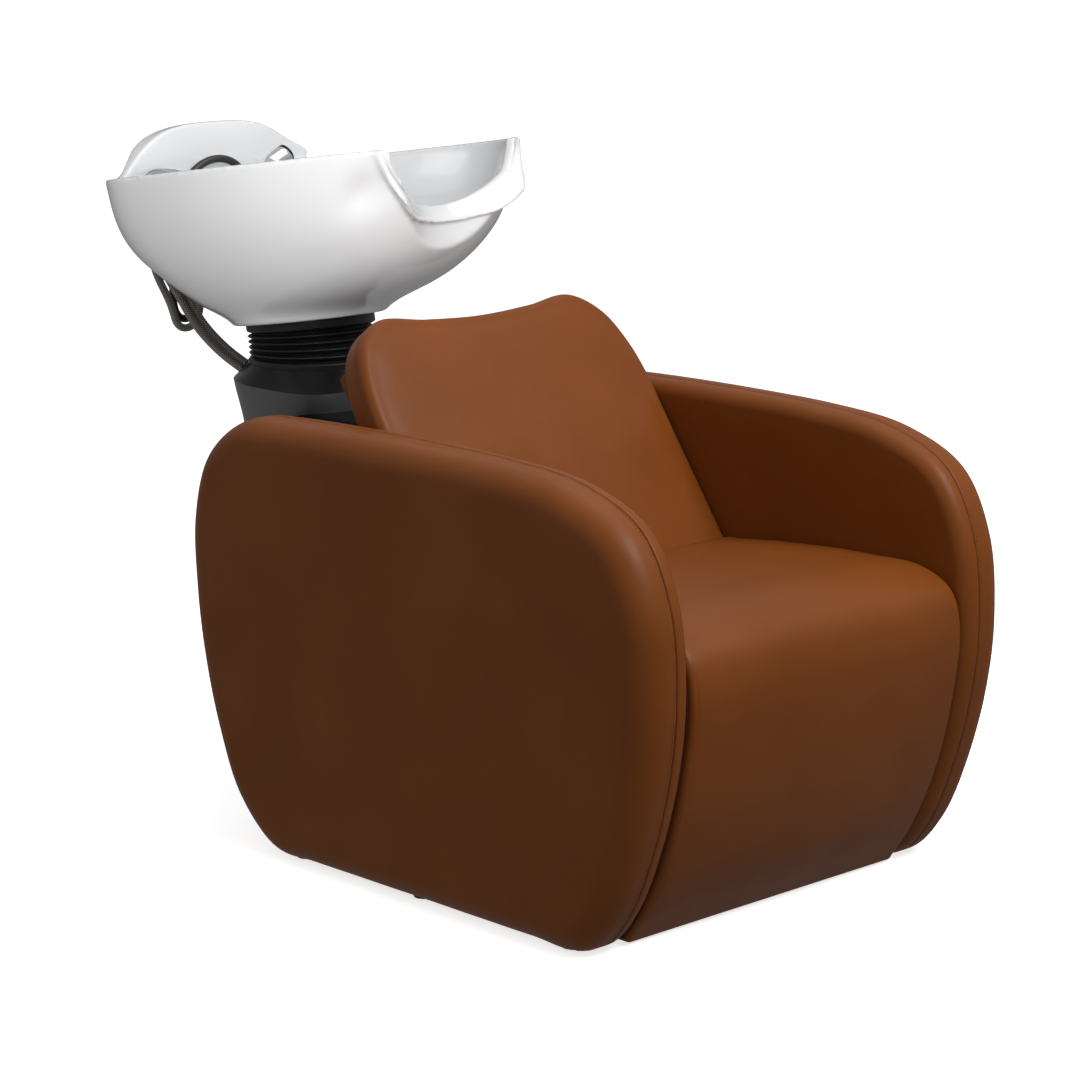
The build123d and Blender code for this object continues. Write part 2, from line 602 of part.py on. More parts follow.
# ---------------------------------------------------------------- waste
flange_low = BOWL_FLOOR_W - DRAIN_FLANGE
waste = rod(0, 0, flange_low, DRAIN_FLANGE_R, DRAIN_FLANGE)
waste += rod(0, 0, flange_low - TAIL_DROP, TAIL_R, TAIL_DROP)
waste -= rod(0, 0, flange_low - TAIL_DROP - 1, TAIL_BORE_R, TAIL_DROP + 20)
keep("waste_body", tilted(waste))
nut = rod(0, 0, cradle_low - NUT_HEIGHT, NUT_R, NUT_HEIGHT) - rod(0, 0, 0, TAIL_R, 100)
keep("waste_nut", tilted(nut))
strainer = rod(0, 0, BOWL_FLOOR_W + FIT, STRAINER_R, 3) + rod(0, 0, BOWL_FLOOR_W - 14, TAIL_BORE_R - 1, 16)
strainer -= rod(0, 0, BOWL_FLOOR_W - 12, TAIL_BORE_R - 3, 40)
for i in range(STRAINER_HOLES):
    angle = math.radians(360 * i / STRAINER_HOLES)
    spot = (STRAINER_R - 7)
    strainer -= rod(spot * math.cos(angle), spot * math.sin(angle), BOWL_FLOOR_W - 1, 2.5, 8)
for i in range(-1, 2):
    strainer += slab(0, i * 10, BOWL_FLOOR_W + FIT, 2 * TAIL_BORE_R - 5, 2.5, 3)
keep("waste_strainer", tilted(strainer))

tail_low = tilted_point(0, 0, flange_low - TAIL_DROP)
hose_low = TRAP_HIGH_Z + 20
waste_top = Vector(*tail_low)
waste_dir = Vector(*tilted_point(0, 0, -200)) - Vector(*tilted_point(0, 0, 0))
waste_points = [tuple(waste_top), tuple(waste_top + waste_dir.normalized() * 30),
                (0, COLUMN_Y, hose_low + 50), (0, COLUMN_Y, hose_low)]


def run_radii(points):
    """Arc radii for a hose's route: as large as its two runs allow."""
    radii = []
    for before, at, after in zip(points, points[1:], points[2:]):
        first = Vector(*at) - Vector(*before)
        second = Vector(*after) - Vector(*at)
        half_turn = math.radians(first.get_angle(second)) / 2
        radii.append(0.45 * min(first.length, second.length) / math.tan(half_turn))
    return radii


def hose(name, points, radius, bore=0.0):
    """A plain round hose along straight runs joined by arcs."""
    radii = run_radii(points)
    path = FilletPolyline(*points, radius=radii)
    start = Plane(origin=path @ 0, z_dir=path % 0)
    section = start * Circle(radius)
    if bore:
        section -= start * Circle(bore)
    tube = sweep(section, path=path)
    area = math.pi * (radius ** 2 - bore ** 2)
    print(name, "length", round(path.length, 1), "radii", [round(r) for r in radii],
          "volume/section*length", round(tube.volume / (area * path.length), 4))
    keep(name, tube)
    return path.length


hose("waste_hose", waste_points, TAIL_R - 3, TAIL_R - 6)


def pipe(points, radius, bore, bend):
    """A rigid round pipe with bends of one radius."""
    path = FilletPolyline(*points, radius=bend)
    start = Plane(origin=path @ 0, z_dir=path % 0)
    return sweep(start * Circle(radius) - start * Circle(bore), path=path)


trap = rod(0, COLUMN_Y, TRAP_LOW_Z, TRAP_R, TRAP_HIGH_Z - TRAP_LOW_Z)
trap += rod(0, COLUMN_Y, TRAP_HIGH_Z, TAIL_R, hose_low - TRAP_HIGH_Z)
trap -= rod(0, COLUMN_Y, TRAP_LOW_Z + TRAP_WALL, TRAP_R - TRAP_WALL, TRAP_HIGH_Z - TRAP_LOW_Z - 2 * TRAP_WALL)
trap -= rod(0, COLUMN_Y, TRAP_HIGH_Z - 2 * TRAP_WALL, TAIL_R - 6, 60)
arm_start = COLUMN_Y + TRAP_R - TRAP_WALL
outlet_hole = Pos(0, arm_start + 10, OUTLET_HIGH_Z) * Rot(90, 0, 0) * Cylinder(OUTLET_R, 40)
keep("waste_trap", trap - outlet_hole)
outlet_route = [(0, arm_start, OUTLET_HIGH_Z), (0, OUTLET_Y, OUTLET_HIGH_Z), (0, OUTLET_Y, OUTLET_LOW_Z)]
spigot_collar = rod(0, OUTLET_Y, OUTLET_LOW_Z + SPIGOT, SPIGOT_COLLAR_R, SPIGOT_COLLAR)
spigot_collar -= rod(0, OUTLET_Y, OUTLET_LOW_Z, (OUTLET_R + OUTLET_BORE_R) / 2, SPIGOT + 2 * SPIGOT_COLLAR)
keep("outlet_pipe", pipe(outlet_route, OUTLET_R, OUTLET_BORE_R, OUTLET_BEND) + spigot_collar)

# ---------------------------------------------------------------- stop valves, behind the service panel
bracket_y = COLUMN_Y + UPRIGHT_Y / 2
keep("valve_bracket", slab(0, bracket_y + PLATE / 2, VALVE_Z - 15, 2 * (UPRIGHT_IN + UPRIGHT_X), PLATE, 30))
valves = []
for s in (-1, 1):
    body = rod(s * VALVE_X, VALVE_Y, VALVE_Z - VALVE_HALF, VALVE_R, 2 * VALVE_HALF)
    body += rod(s * VALVE_X, VALVE_Y, VALVE_Z - VALVE_HALF - INLET_LENGTH, INLET_R, INLET_LENGTH)
    boss_run = VALVE_Y - bracket_y - PLATE
    boss_y = bracket_y + PLATE + boss_run / 2
    body += Pos(s * VALVE_X, boss_y, VALVE_Z) * Rot(90, 0, 0) * Cylinder(VALVE_BOSS_R, boss_run)
    stem_run = VALVE_R + STEM_OUT
    body += Pos(s * VALVE_X, VALVE_Y + stem_run / 2, VALVE_Z) * Rot(90, 0, 0) * Cylinder(STEM_R, stem_run)
    body -= rod(s * VALVE_X, VALVE_Y, VALVE_Z - VALVE_HALF - INLET_LENGTH - 1, 6, 12)
    valves.append(body)
    handle_y = VALVE_Y + VALVE_R + 1 + VALVE_HANDLE / 2
    handle = Pos(s * VALVE_X, handle_y, VALVE_Z) * Box(10, VALVE_HANDLE, 2 * VALVE_HANDLE_REACH)
    handle += Pos(s * VALVE_X, handle_y, VALVE_Z) * Rot(90, 0, 0) * Cylinder(8, VALVE_HANDLE)
    handle -= Pos(s * VALVE_X, handle_y, VALVE_Z) * Rot(90, 0, 0) * Cylinder(STEM_R + PIN_RUNNING, 60)
    keep("cold_valve_handle" if s < 0 else "hot_valve_handle", handle)
keep("stop_valves", group(valves))

# ---------------------------------------------------------------- pedestal cover
# height, half width, rear reach, front reach, centre, power to the rear, power to the front
COLLAR = [
    (SHELL_JOIN_Z, SHELL_R, SHELL_R, SHELL_R, SHELL_CENTRE_Y, 2, 2),
    (510, 93, 98, 94, SHELL_CENTRE_Y, 2, 2.4),
    (545, 98, 111, 110, SHELL_CENTRE_Y, 2, 3.2),
    (SHELL_TOP_Z, 101, 119, 118, SHELL_CENTRE_Y, 2, 4.0),
]
shell_outer = rod(0, SHELL_CENTRE_Y, SHELL_FOOT_Z, SHELL_R, SHELL_JOIN_Z - SHELL_FOOT_Z)
shell_inside = rod(0, SHELL_CENTRE_Y, 0, SHELL_R - SHELL_WALL, SHELL_JOIN_Z + 1)
shell = shell_outer - shell_inside
for s in (-1, 1):
    shell -= Pos(s * LINK_X, RAIL_REAR_Y + 100, FOOT_PLATE + POST / 2) * Box(POST + 2, 400, POST + 2)
panel_mid = Pos(0, SHELL_CENTRE_Y + 100, (PANEL_LOW_Z + PANEL_HIGH_Z) / 2)
panel_height = PANEL_HIGH_Z - PANEL_LOW_Z
shell -= panel_mid * Box(2 * PANEL_HALF, 200, panel_height)
panel = rod(0, SHELL_CENTRE_Y, PANEL_LOW_Z - PANEL_LAP, SHELL_R + PANEL_THICK, panel_height + 2 * PANEL_LAP)
panel &= panel_mid * Box(2 * (PANEL_HALF + PANEL_LAP), 200, 400)
panel -= rod(0, SHELL_CENTRE_Y, 0, SHELL_R, SHELL_JOIN_Z)
screw_turn = math.degrees(math.asin((PANEL_HALF + PANEL_LAP / 2) / SHELL_R))
screws = []
for turn in (-screw_turn, screw_turn):
    for z in (PANEL_LOW_Z - PANEL_LAP / 2, PANEL_HIGH_Z + PANEL_LAP / 2):
        radial = Pos(0, SHELL_CENTRE_Y, z) * Rot(0, 0, turn) * Rot(-90, 0, 0)
        shank = radial * Pos(0, 0, SHELL_R) * Cylinder(SCREW_R, 2 * SHELL_WALL + PANEL_THICK)
        panel -= shank
        shell -= shank
        head = radial * Pos(0, 0, SHELL_R + SHELL_WALL + PANEL_THICK) * Cylinder(2 * SCREW_R, PANEL_THICK)
        screws.append(shank + head)
keep("pedestal_shell", shell)
keep("service_panel", panel)
keep("panel_screws", group(screws))
collar_solid = oval_loft(COLLAR)
collar_inner = [(SHELL_JOIN_Z - 1,) + COLLAR[0][1:]] + COLLAR[1:-1] + [(SHELL_TOP_Z + 1,) + COLLAR[-1][1:]]
keep("pedestal_collar", collar_solid - oval_loft(collar_inner, SHELL_WALL))
brackets = []
for s in (-1, 1):
    for z in BRACKET_ZS:
        arm = slab(s * (UPRIGHT_IN + UPRIGHT_X + 20), COLUMN_Y, z, 40, 24, 12)
        brackets.append(arm & shell_inside)
keep("shell_brackets", group(brackets))

top_circle = (CAP_TOP_Z, BELLOWS_R + 1, BELLOWS_R + 1, BELLOWS_R + 1, COLUMN_Y, 2, 2)
cap = oval_loft([COLLAR[-1], top_circle])
cap_under = [(SHELL_TOP_Z - 1,) + COLLAR[-1][1:], (CAP_TOP_Z - SHELL_WALL,) + top_circle[1:]]
cap -= oval_loft(cap_under, SHELL_WALL)
cap -= rod(0, COLUMN_Y, SHELL_TOP_Z, BELLOWS_VALLEY - BELLOWS_WALL, 100)
entry_from = Vector(-64.5, 662, 601.4)
entry_to = Vector(-24, 616, 557)
entry = Plane(origin=(entry_from + entry_to) / 2, z_dir=entry_to - entry_from).location
cap -= entry * Cylinder(GROMMET_R, 60)
keep("pedestal_cap", cap)
keep("hose_grommet", entry * (Cylinder(GROMMET_R, GROMMET_LENGTH) - Cylinder(GROMMET_BORE_R, 60)))

housing_run = SHELL_CENTRE_Y - HOUSING_FRONT_Y
housing_y = HOUSING_FRONT_Y + housing_run / 2
housing_low = FOOT_PLATE + POST + 6
housing = slab(0, housing_y, housing_low, 2 * HOUSING_HALF, housing_run, HOUSING_TOP_Z - housing_low)
top_edges = housing.edges().filter_by(Axis.Y).group_by(Axis.Z)[-1]
housing = fillet(top_edges, 22)
housing_in = slab(0, housing_y, housing_low - 1, 2 * (HOUSING_HALF - HOUSING_WALL), housing_run + 10,
                  HOUSING_TOP_Z - housing_low - HOUSING_WALL + 1)
housing_in = fillet(housing_in.edges().filter_by(Axis.Y).group_by(Axis.Z)[-1], 22 - HOUSING_WALL)
housing -= rod(0, SHELL_CENTRE_Y, 0, SHELL_R + FIT, 2 * HOUSING_TOP_Z)
keep("bridge_housing", housing - housing_in - collar_solid)

# ---------------------------------------------------------------- bellows
count = 2 * BELLOWS_FOLDS
bellows_low_w = CAP_TOP_Z - PIVOT_Z


def bellows_ring(i, shrink):
    """One ring of the bellows, tilted in step with its height."""
    share = i / count
    radius = (BELLOWS_R if i % 2 == 0 else BELLOWS_VALLEY) - shrink
    w = bellows_low_w + share * (RING_W - bellows_low_w)
    place = Pos(0, COLUMN_Y, PIVOT_Z) * Rot(-REST_TILT * share, 0, 0) * Pos(0, 0, w)
    return place * Circle(radius).face()


outer_rings = [bellows_ring(i, 0) for i in range(count + 1)]
inner_rings = [bellows_ring(i, BELLOWS_WALL) for i in range(count + 1)]
keep("bellows", loft(outer_rings, ruled=True) - loft(inner_rings, ruled=True))

# ---------------------------------------------------------------- mixer
mixer = rod(MIXER_U, FITTING_V, DECK_W, MIXER_R, MIXER_HEIGHT)
mixer += rod(MIXER_U, FITTING_V, hollow_top - SHANK_DROP, SHANK_R, DECK_THICK + SHANK_DROP)
keep("mixer_body", tilted(mixer))
mixer_nut = rod(MIXER_U, FITTING_V, hollow_top - 8, SHANK_R + 4, 8) - rod(MIXER_U, FITTING_V, 0, SHANK_R, 400)
keep("mixer_nut", tilted(mixer_nut))
cap_low = DECK_W + MIXER_HEIGHT + FIT
mixer_cap = rod(MIXER_U, FITTING_V, cap_low, MIXER_R, MIXER_CAP)
lift_w = cap_low + MIXER_CAP - 6
lever_slot = Pos(MIXER_U, FITTING_V - 8, lift_w + 3.75) * Box(14.6, 2 * MIXER_R, 19.5)
mixer_cap -= lever_slot
mixer_cap += cross_rod(MIXER_U - 9, MIXER_U + 9, FITTING_V, lift_w, LEVER_PIN_R)
keep("mixer_cap", tilted(mixer_cap))
lever_side = Plane(origin=(MIXER_U, FITTING_V, lift_w), x_dir=(0, 1, 0), z_dir=(1, 0, 0))
lever_face = make_face([
    Spline((8, 5), (-12, 13), (-40, 12), (-LEVER_REACH, 0), tangents=[(-1, 1), (-0.5, -1)]),
    Spline((-LEVER_REACH, 0), (-LEVER_REACH + 6, -1), (-40, 5), (-14, 3), tangents=[(0.5, -0.5), (1, -0.6)]),
    Polyline((-14, 3), (-6, -3.5), (5, -3.5), (8, 5)),
])
lever = extrude(lever_side * lever_face, LEVER_WIDTH / 2, both=True)
wide = lever & (Pos(MIXER_U, FITTING_V - 60, lift_w + 20) * Box(80, 120 - 2 * (MIXER_R + 2), 60))
lever = (lever & (Pos(MIXER_U, FITTING_V, lift_w) * Box(14, 60, 60))) + wide
lever -= cross_rod(MIXER_U - 20, MIXER_U + 20, FITTING_V, lift_w, LEVER_PIN_R + PIN_RUNNING)
keep("mixer_lever", tilted(lever))

# ---------------------------------------------------------------- nipple, hose bush, holder, hand shower
nipple = rod(OUTLET_U, FITTING_V, hollow_top - 12, NIPPLE_R, DECK_THICK + 12)
nipple += rod(OUTLET_U, FITTING_V, DECK_W, 13, 10) + rod(OUTLET_U, FITTING_V, DECK_W + 10, 9, 14)
keep("outlet_nipple", tilted(nipple))
bush = rod(BUSH_U, FITTING_V, hollow_top - 6, BUSH_R, DECK_THICK + 6)
bush += rod(BUSH_U, FITTING_V, DECK_W, BUSH_R + 2, FLANGE)
keep("hose_bush", tilted(bush - rod(BUSH_U, FITTING_V, 0, HOSE_R + 1.5, 400)))
holder_top = DECK_W + FLANGE + HOLDER_RISE
holder = rod(HOLDER_U, FITTING_V, hollow_top - 10, HOLDER_R, DECK_THICK + 10)
holder += rod(HOLDER_U, FITTING_V, DECK_W, HOLDER_TOP_R + 1, FLANGE)
holder += rod(HOLDER_U, FITTING_V, DECK_W + FLANGE, HOLDER_TOP_R - 2, HOLDER_RISE)
tail_start = holder_top - HAND_TAIL / 2
holder -= rod(HOLDER_U, FITTING_V, 0, HOSE_R + 2, 400)
holder -= rod(HOLDER_U, FITTING_V, tail_start, HAND_TAIL_R + FIT, HAND_TAIL)
keep("shower_holder", tilted(holder))
elbow_w = tail_start + HAND_TAIL
hand = rod(HOLDER_U, FITTING_V, tail_start + FIT, HAND_TAIL_R, HAND_TAIL - FIT)
hand += Pos(HOLDER_U, FITTING_V, elbow_w) * Sphere(HAND_TAIL_R)
head_place = Pos(HOLDER_U, FITTING_V, elbow_w) * Rot(0, HAND_LEAN, 0)
hand += head_place * Pos(0, 0, HAND_HEAD / 4) * Cone(HAND_TAIL_R, HAND_R, HAND_HEAD / 2)
hand += head_place * Pos(0, 0, HAND_HEAD * 0.75) * Cylinder(HAND_R, HAND_HEAD / 2)
keep("hand_shower", tilted(hand))
keep("spray_face", tilted(head_place * Pos(0, 0, HAND_HEAD + 2) * Cylinder(HAND_R - 3, 4)))

# ---------------------------------------------------------------- hoses
tail_w = hollow_top - SHANK_DROP
inlet_z = VALVE_Z + VALVE_HALF
supply_centre = [(-136, 687, 711), (-121, 684, 687), (-108, 680, 661), (-90, 676, 633), (-64.5, 662, 601.4),
                 (-46, 641, 581), (-24, 616, 557)]
supplies = {}
for name, side, tail, upper, lower in (
        ("hot", 1, HOT_TAIL, (-140.5, 678.5, 729), [(-10, 606, 520), (12, 602, 480), (34, 594, 440),
                                                  (50, 586, 385), (VALVE_X, VALVE_Y, 310)]),
        ("cold", -1, COLD_TAIL, (-149.5, 688, 723.5), [(-30, 602, 518), (-44, 592, 460), (-50, 586, 390),
                                                       (-VALVE_X, VALVE_Y, 310)])):
    tail_u = MIXER_U + tail[0]
    tail_v = FITTING_V + tail[1]
    points = [tilted_point(tail_u, tail_v, tail_w), tilted_point(tail_u, tail_v, tail_w - tail[2]), upper]
    points += [tuple(a + side * b for a, b in zip(point, SUPPLY_OFFSET)) for point in supply_centre]
    supplies[name] = points + lower + [(lower[-1][0], VALVE_Y, inlet_z)]
loop_u = MIXER_U + LOOP_TAIL[0]
loop_v = FITTING_V + LOOP_TAIL[1]
loop_points = [tilted_point(loop_u, loop_v, tail_w), tilted_point(loop_u, loop_v, tail_w - TAIL_STRAIGHT),
               (-156, 700, 723.5), (-147, 703, 708), (-134, 709, 692), (-122, 712, 673), (-116, 712.5, 658),
               (-112, 712, 643.4), (-102.6, 711, 634), (-89.4, 708, 634), (-80, 705, 643.4), (-77, 701, 659),
               (-79, 696, 680), (-85, 692, 702), (-94, 688.5, 722),
               tilted_point(OUTLET_U, FITTING_V, hollow_top - 26),
               tilted_point(OUTLET_U, FITTING_V, hollow_top - 12)]
arc_top = DECK_W + 24
shower_points = [tilted_point(OUTLET_U, FITTING_V, arc_top), tilted_point(OUTLET_U, FITTING_V, arc_top + 24),
                 tilted_point(-84, FITTING_V, 277), tilted_point(-58, FITTING_V, 291),
                 tilted_point(-30, FITTING_V, 295), tilted_point(-4, FITTING_V, 287),
                 tilted_point(12, FITTING_V, 268), tilted_point(BUSH_U, FITTING_V, 242),
                 tilted_point(BUSH_U + 0.6, FITTING_V, 207), tilted_point(BUSH_U, FITTING_V, 172),
                 (12, 693, 735), (0, 698, 723), (-20, 704, 720), (-46, 713, 724), (-74, 722, 724),
                 (-96, 728, 712), (-103, 729, 694), (-103.5, 729, 674), (-100, 728.5, 654.5), (-89.5, 728, 644),
                 (-74.5, 727, 644), (-64, 726, 654.5), (-60.5, 725, 672), (-54, 723, 691), (-36, 719, 704),
                 (-8, 713, 708), (18, 706, 712), (37, 696, 724),
                 tilted_point(HOLDER_U, FITTING_V, hollow_top - 24),
                 tilted_point(HOLDER_U + 0.5, FITTING_V, hollow_top + 8),
                 tilted_point(HOLDER_U, FITTING_V, tail_start - FIT)]
for hose_name, points in (("cold_supply_hose", supplies["cold"]), ("hot_supply_hose", supplies["hot"]),
                          ("mixer_outlet_hose", loop_points), ("hand_shower_hose", shower_points)):
    hose(hose_name, points, HOSE_R)
print("nodes", len(made))
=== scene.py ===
import json
import math

import bpy
import numpy as np
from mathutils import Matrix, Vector, noise

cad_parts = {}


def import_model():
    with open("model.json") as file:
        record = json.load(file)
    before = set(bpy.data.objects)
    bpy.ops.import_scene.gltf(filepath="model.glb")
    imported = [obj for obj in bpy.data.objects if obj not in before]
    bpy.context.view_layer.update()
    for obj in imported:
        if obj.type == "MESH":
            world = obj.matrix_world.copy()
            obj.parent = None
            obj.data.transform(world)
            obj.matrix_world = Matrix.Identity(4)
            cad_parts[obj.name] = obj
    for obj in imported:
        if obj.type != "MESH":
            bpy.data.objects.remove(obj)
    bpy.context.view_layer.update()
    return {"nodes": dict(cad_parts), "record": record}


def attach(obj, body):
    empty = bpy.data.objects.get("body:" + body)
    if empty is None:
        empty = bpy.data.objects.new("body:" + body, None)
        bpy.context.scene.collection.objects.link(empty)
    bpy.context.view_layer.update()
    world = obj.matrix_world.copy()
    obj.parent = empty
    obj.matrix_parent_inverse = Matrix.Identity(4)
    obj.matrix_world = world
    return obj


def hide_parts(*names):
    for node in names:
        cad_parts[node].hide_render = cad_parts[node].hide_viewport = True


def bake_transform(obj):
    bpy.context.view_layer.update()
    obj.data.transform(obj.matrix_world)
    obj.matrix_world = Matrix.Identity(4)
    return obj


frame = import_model()
NODES = frame["nodes"]
MM = 0.001

# ---------------------------------------------------------------- camera, in metres and degrees
CAMERA_PLACE = (-3.1086, -3.1647, 1.3924)
CAMERA_PITCH = 12.36
CAMERA_TURN = -43.80
CAMERA_LENS = 114.7
CAMERA_SENSOR = 36

camera_data = bpy.data.cameras.new("camera")
camera_data.lens = CAMERA_LENS
camera_data.sensor_width = CAMERA_SENSOR
camera = bpy.data.objects.new("camera", camera_data)
camera.location = CAMERA_PLACE
camera.rotation_euler = (math.radians(90 - CAMERA_PITCH), 0, math.radians(CAMERA_TURN))
bpy.context.scene.collection.objects.link(camera)
bpy.context.scene.camera = camera
bpy.context.scene.view_settings.view_transform = "Standard"

# ---------------------------------------------------------------- the basin's own level frame, in mm
PIVOT = Vector((0, 540, 600))
REST_TILT = math.radians(8.5)
DECK_W = 205.0
RIM_W = 279.0
FITTING_V = 126.0
MIXER_U = -160.0
NIPPLE_U = -98.0


def tilted(u, v, w):
    """A point of the basin's level frame at rest, in metres."""
    y = PIVOT.y + v * math.cos(REST_TILT) + w * math.sin(REST_TILT)
    z = PIVOT.z - v * math.sin(REST_TILT) + w * math.cos(REST_TILT)
    return Vector((u, y, z)) * MM


def world(x, y, z):
    """A point in mm, in metres."""
    return Vector((x, y, z)) * MM


# ---------------------------------------------------------------- materials
def new_material(name):
    """An empty material: its nodes, its links and its shader."""
    material = bpy.data.materials.new(name)
    material.use_nodes = True
    nodes = material.node_tree.nodes
    return material, nodes, material.node_tree.links, nodes["Principled BSDF"]


def scaled_place(nodes, links, scale):
    """Object coordinates, stretched."""
    coordinates = nodes.new("ShaderNodeTexCoord")
    mapping = nodes.new("ShaderNodeMapping")
    mapping.inputs["Scale"].default_value = scale
    links.new(coordinates.outputs["Object"], mapping.inputs["Vector"])
    return mapping.outputs["Vector"]


def noise_node(nodes, links, place, scale, detail=4.0):
    """A noise texture."""
    texture = nodes.new("ShaderNodeTexNoise")
    texture.inputs["Scale"].default_value = scale
    texture.inputs["Detail"].default_value = detail
    links.new(place, texture.inputs["Vector"])
    return texture.outputs["Fac"]


def ramp_node(nodes, links, factor, low, high, start=0.35, stop=0.65):
    """Two colours mixed by a factor."""
    ramp = nodes.new("ShaderNodeValToRGB")
    ramp.color_ramp.elements[0].position = start
    ramp.color_ramp.elements[1].position = stop
    ramp.color_ramp.elements[0].color = (*low, 1)
    ramp.color_ramp.elements[1].color = (*high, 1)
    links.new(factor, ramp.inputs["Fac"])
    return ramp.outputs["Color"]


def range_node(nodes, links, factor, low, high):
    """A factor brought to a range."""
    mapped = nodes.new("ShaderNodeMapRange")
    mapped.inputs["To Min"].default_value = low
    mapped.inputs["To Max"].default_value = high
    links.new(factor, mapped.inputs["Value"])
    return mapped.outputs["Result"]


def bump_node(nodes, links, height, distance, strength=1.0, under=None):
    """A bump, on top of another one."""
    bump = nodes.new("ShaderNodeBump")
    bump.inputs["Distance"].default_value = distance
    bump.inputs["Strength"].default_value = strength
    links.new(height, bump.inputs["Height"])
    if under is not None:
        links.new(under, bump.inputs["Normal"])
    return bump.outputs["Normal"]


def moulded(name, low, high, rough, metal=0.0, coat=0.0, grain=900.0, depth=0.00004, scale=14.0, shine=0.5):
    """Plastic, paint, rubber, metal or glaze: colour and gloss vary a little, over a fine grain."""
    material, nodes, links, shader = new_material(name)
    place = scaled_place(nodes, links, (1, 1, 1))
    cloud = noise_node(nodes, links, place, scale)
    links.new(ramp_node(nodes, links, cloud, low, high), shader.inputs["Base Color"])
    fine = noise_node(nodes, links, place, scale * 9, 6.0)
    links.new(range_node(nodes, links, fine, *rough), shader.inputs["Roughness"])
    shader.inputs["Metallic"].default_value = metal
    shader.inputs["Coat Weight"].default_value = coat
    shader.inputs["Specular IOR Level"].default_value = shine
    surface = noise_node(nodes, links, place, grain, 2.0)
    links.new(bump_node(nodes, links, surface, depth), shader.inputs["Normal"])
    return material


def vinyl(name, low, high, rough):
    """Upholstery vinyl: a fine pebbled grain, soft clouds of colour and gloss, and faint handling creases."""
    material, nodes, links, shader = new_material(name)
    place = scaled_place(nodes, links, (1, 1, 1))
    cloud = noise_node(nodes, links, place, 6.0, 5.0)
    links.new(ramp_node(nodes, links, cloud, low, high, 0.3, 0.7), shader.inputs["Base Color"])
    patches = noise_node(nodes, links, place, 45.0, 6.0)
    links.new(range_node(nodes, links, patches, *rough), shader.inputs["Roughness"])
    pebble = nodes.new("ShaderNodeTexVoronoi")
    pebble.feature = "SMOOTH_F1"
    pebble.inputs["Scale"].default_value = 900
    links.new(place, pebble.inputs["Vector"])
    grain = bump_node(nodes, links, pebble.outputs["Distance"], 0.00016, 0.55)
    crease = noise_node(nodes, links, place, 160.0, 8.0)
    links.new(bump_node(nodes, links, crease, 0.0003, 0.35, grain), shader.inputs["Normal"])
    shader.inputs["Specular IOR Level"].default_value = 0.20
    return material


def braided(name):
    """Stainless braid on a hose: crossing bands of fine wires, laid out along and around the hose. Its colour
    is darker down in the grooves of the weave than on the wire crowns: painted shade.
    """
    material, nodes, links, shader = new_material(name)
    coordinates = nodes.new("ShaderNodeTexCoord")
    bands = []
    for turn in (1, -1):
        mapping = nodes.new("ShaderNodeMapping")
        mapping.inputs["Rotation"].default_value = (0, 0, turn * math.radians(38))
        links.new(coordinates.outputs["UV"], mapping.inputs["Vector"])
        wave = nodes.new("ShaderNodeTexWave")
        wave.bands_direction = "X"
        wave.inputs["Scale"].default_value = 110
        wave.inputs["Distortion"].default_value = 0.6
        links.new(mapping.outputs["Vector"], wave.inputs["Vector"])
        bands.append(wave.outputs["Fac"])
    weave = nodes.new("ShaderNodeMath")
    weave.operation = "MULTIPLY"
    links.new(bands[0], weave.inputs[0])
    links.new(bands[1], weave.inputs[1])
    height = weave.outputs["Value"]
    # the colour follows the weave's height, darkest in the grooves between the wires: painted shade in the
    # grooves
    colour = ramp_node(nodes, links, height, (0.16, 0.145, 0.13), (0.80, 0.76, 0.70), 0.05, 0.6)
    links.new(colour, shader.inputs["Base Color"])
    links.new(range_node(nodes, links, height, 0.5, 0.28), shader.inputs["Roughness"])
    links.new(bump_node(nodes, links, height, 0.0006), shader.inputs["Normal"])
    shader.inputs["Metallic"].default_value = 0.6
    return material


def plywood(name):
    """Bare plywood: long grain along the board."""
    material, nodes, links, shader = new_material(name)
    place = scaled_place(nodes, links, (12, 1.5, 12))
    grain = noise_node(nodes, links, place, 14.0, 8.0)
    colour = ramp_node(nodes, links, grain, (0.42, 0.27, 0.14), (0.66, 0.49, 0.30))
    links.new(colour, shader.inputs["Base Color"])
    links.new(range_node(nodes, links, grain, 0.55, 0.75), shader.inputs["Roughness"])
    links.new(bump_node(nodes, links, grain, 0.0003), shader.inputs["Normal"])
    return material


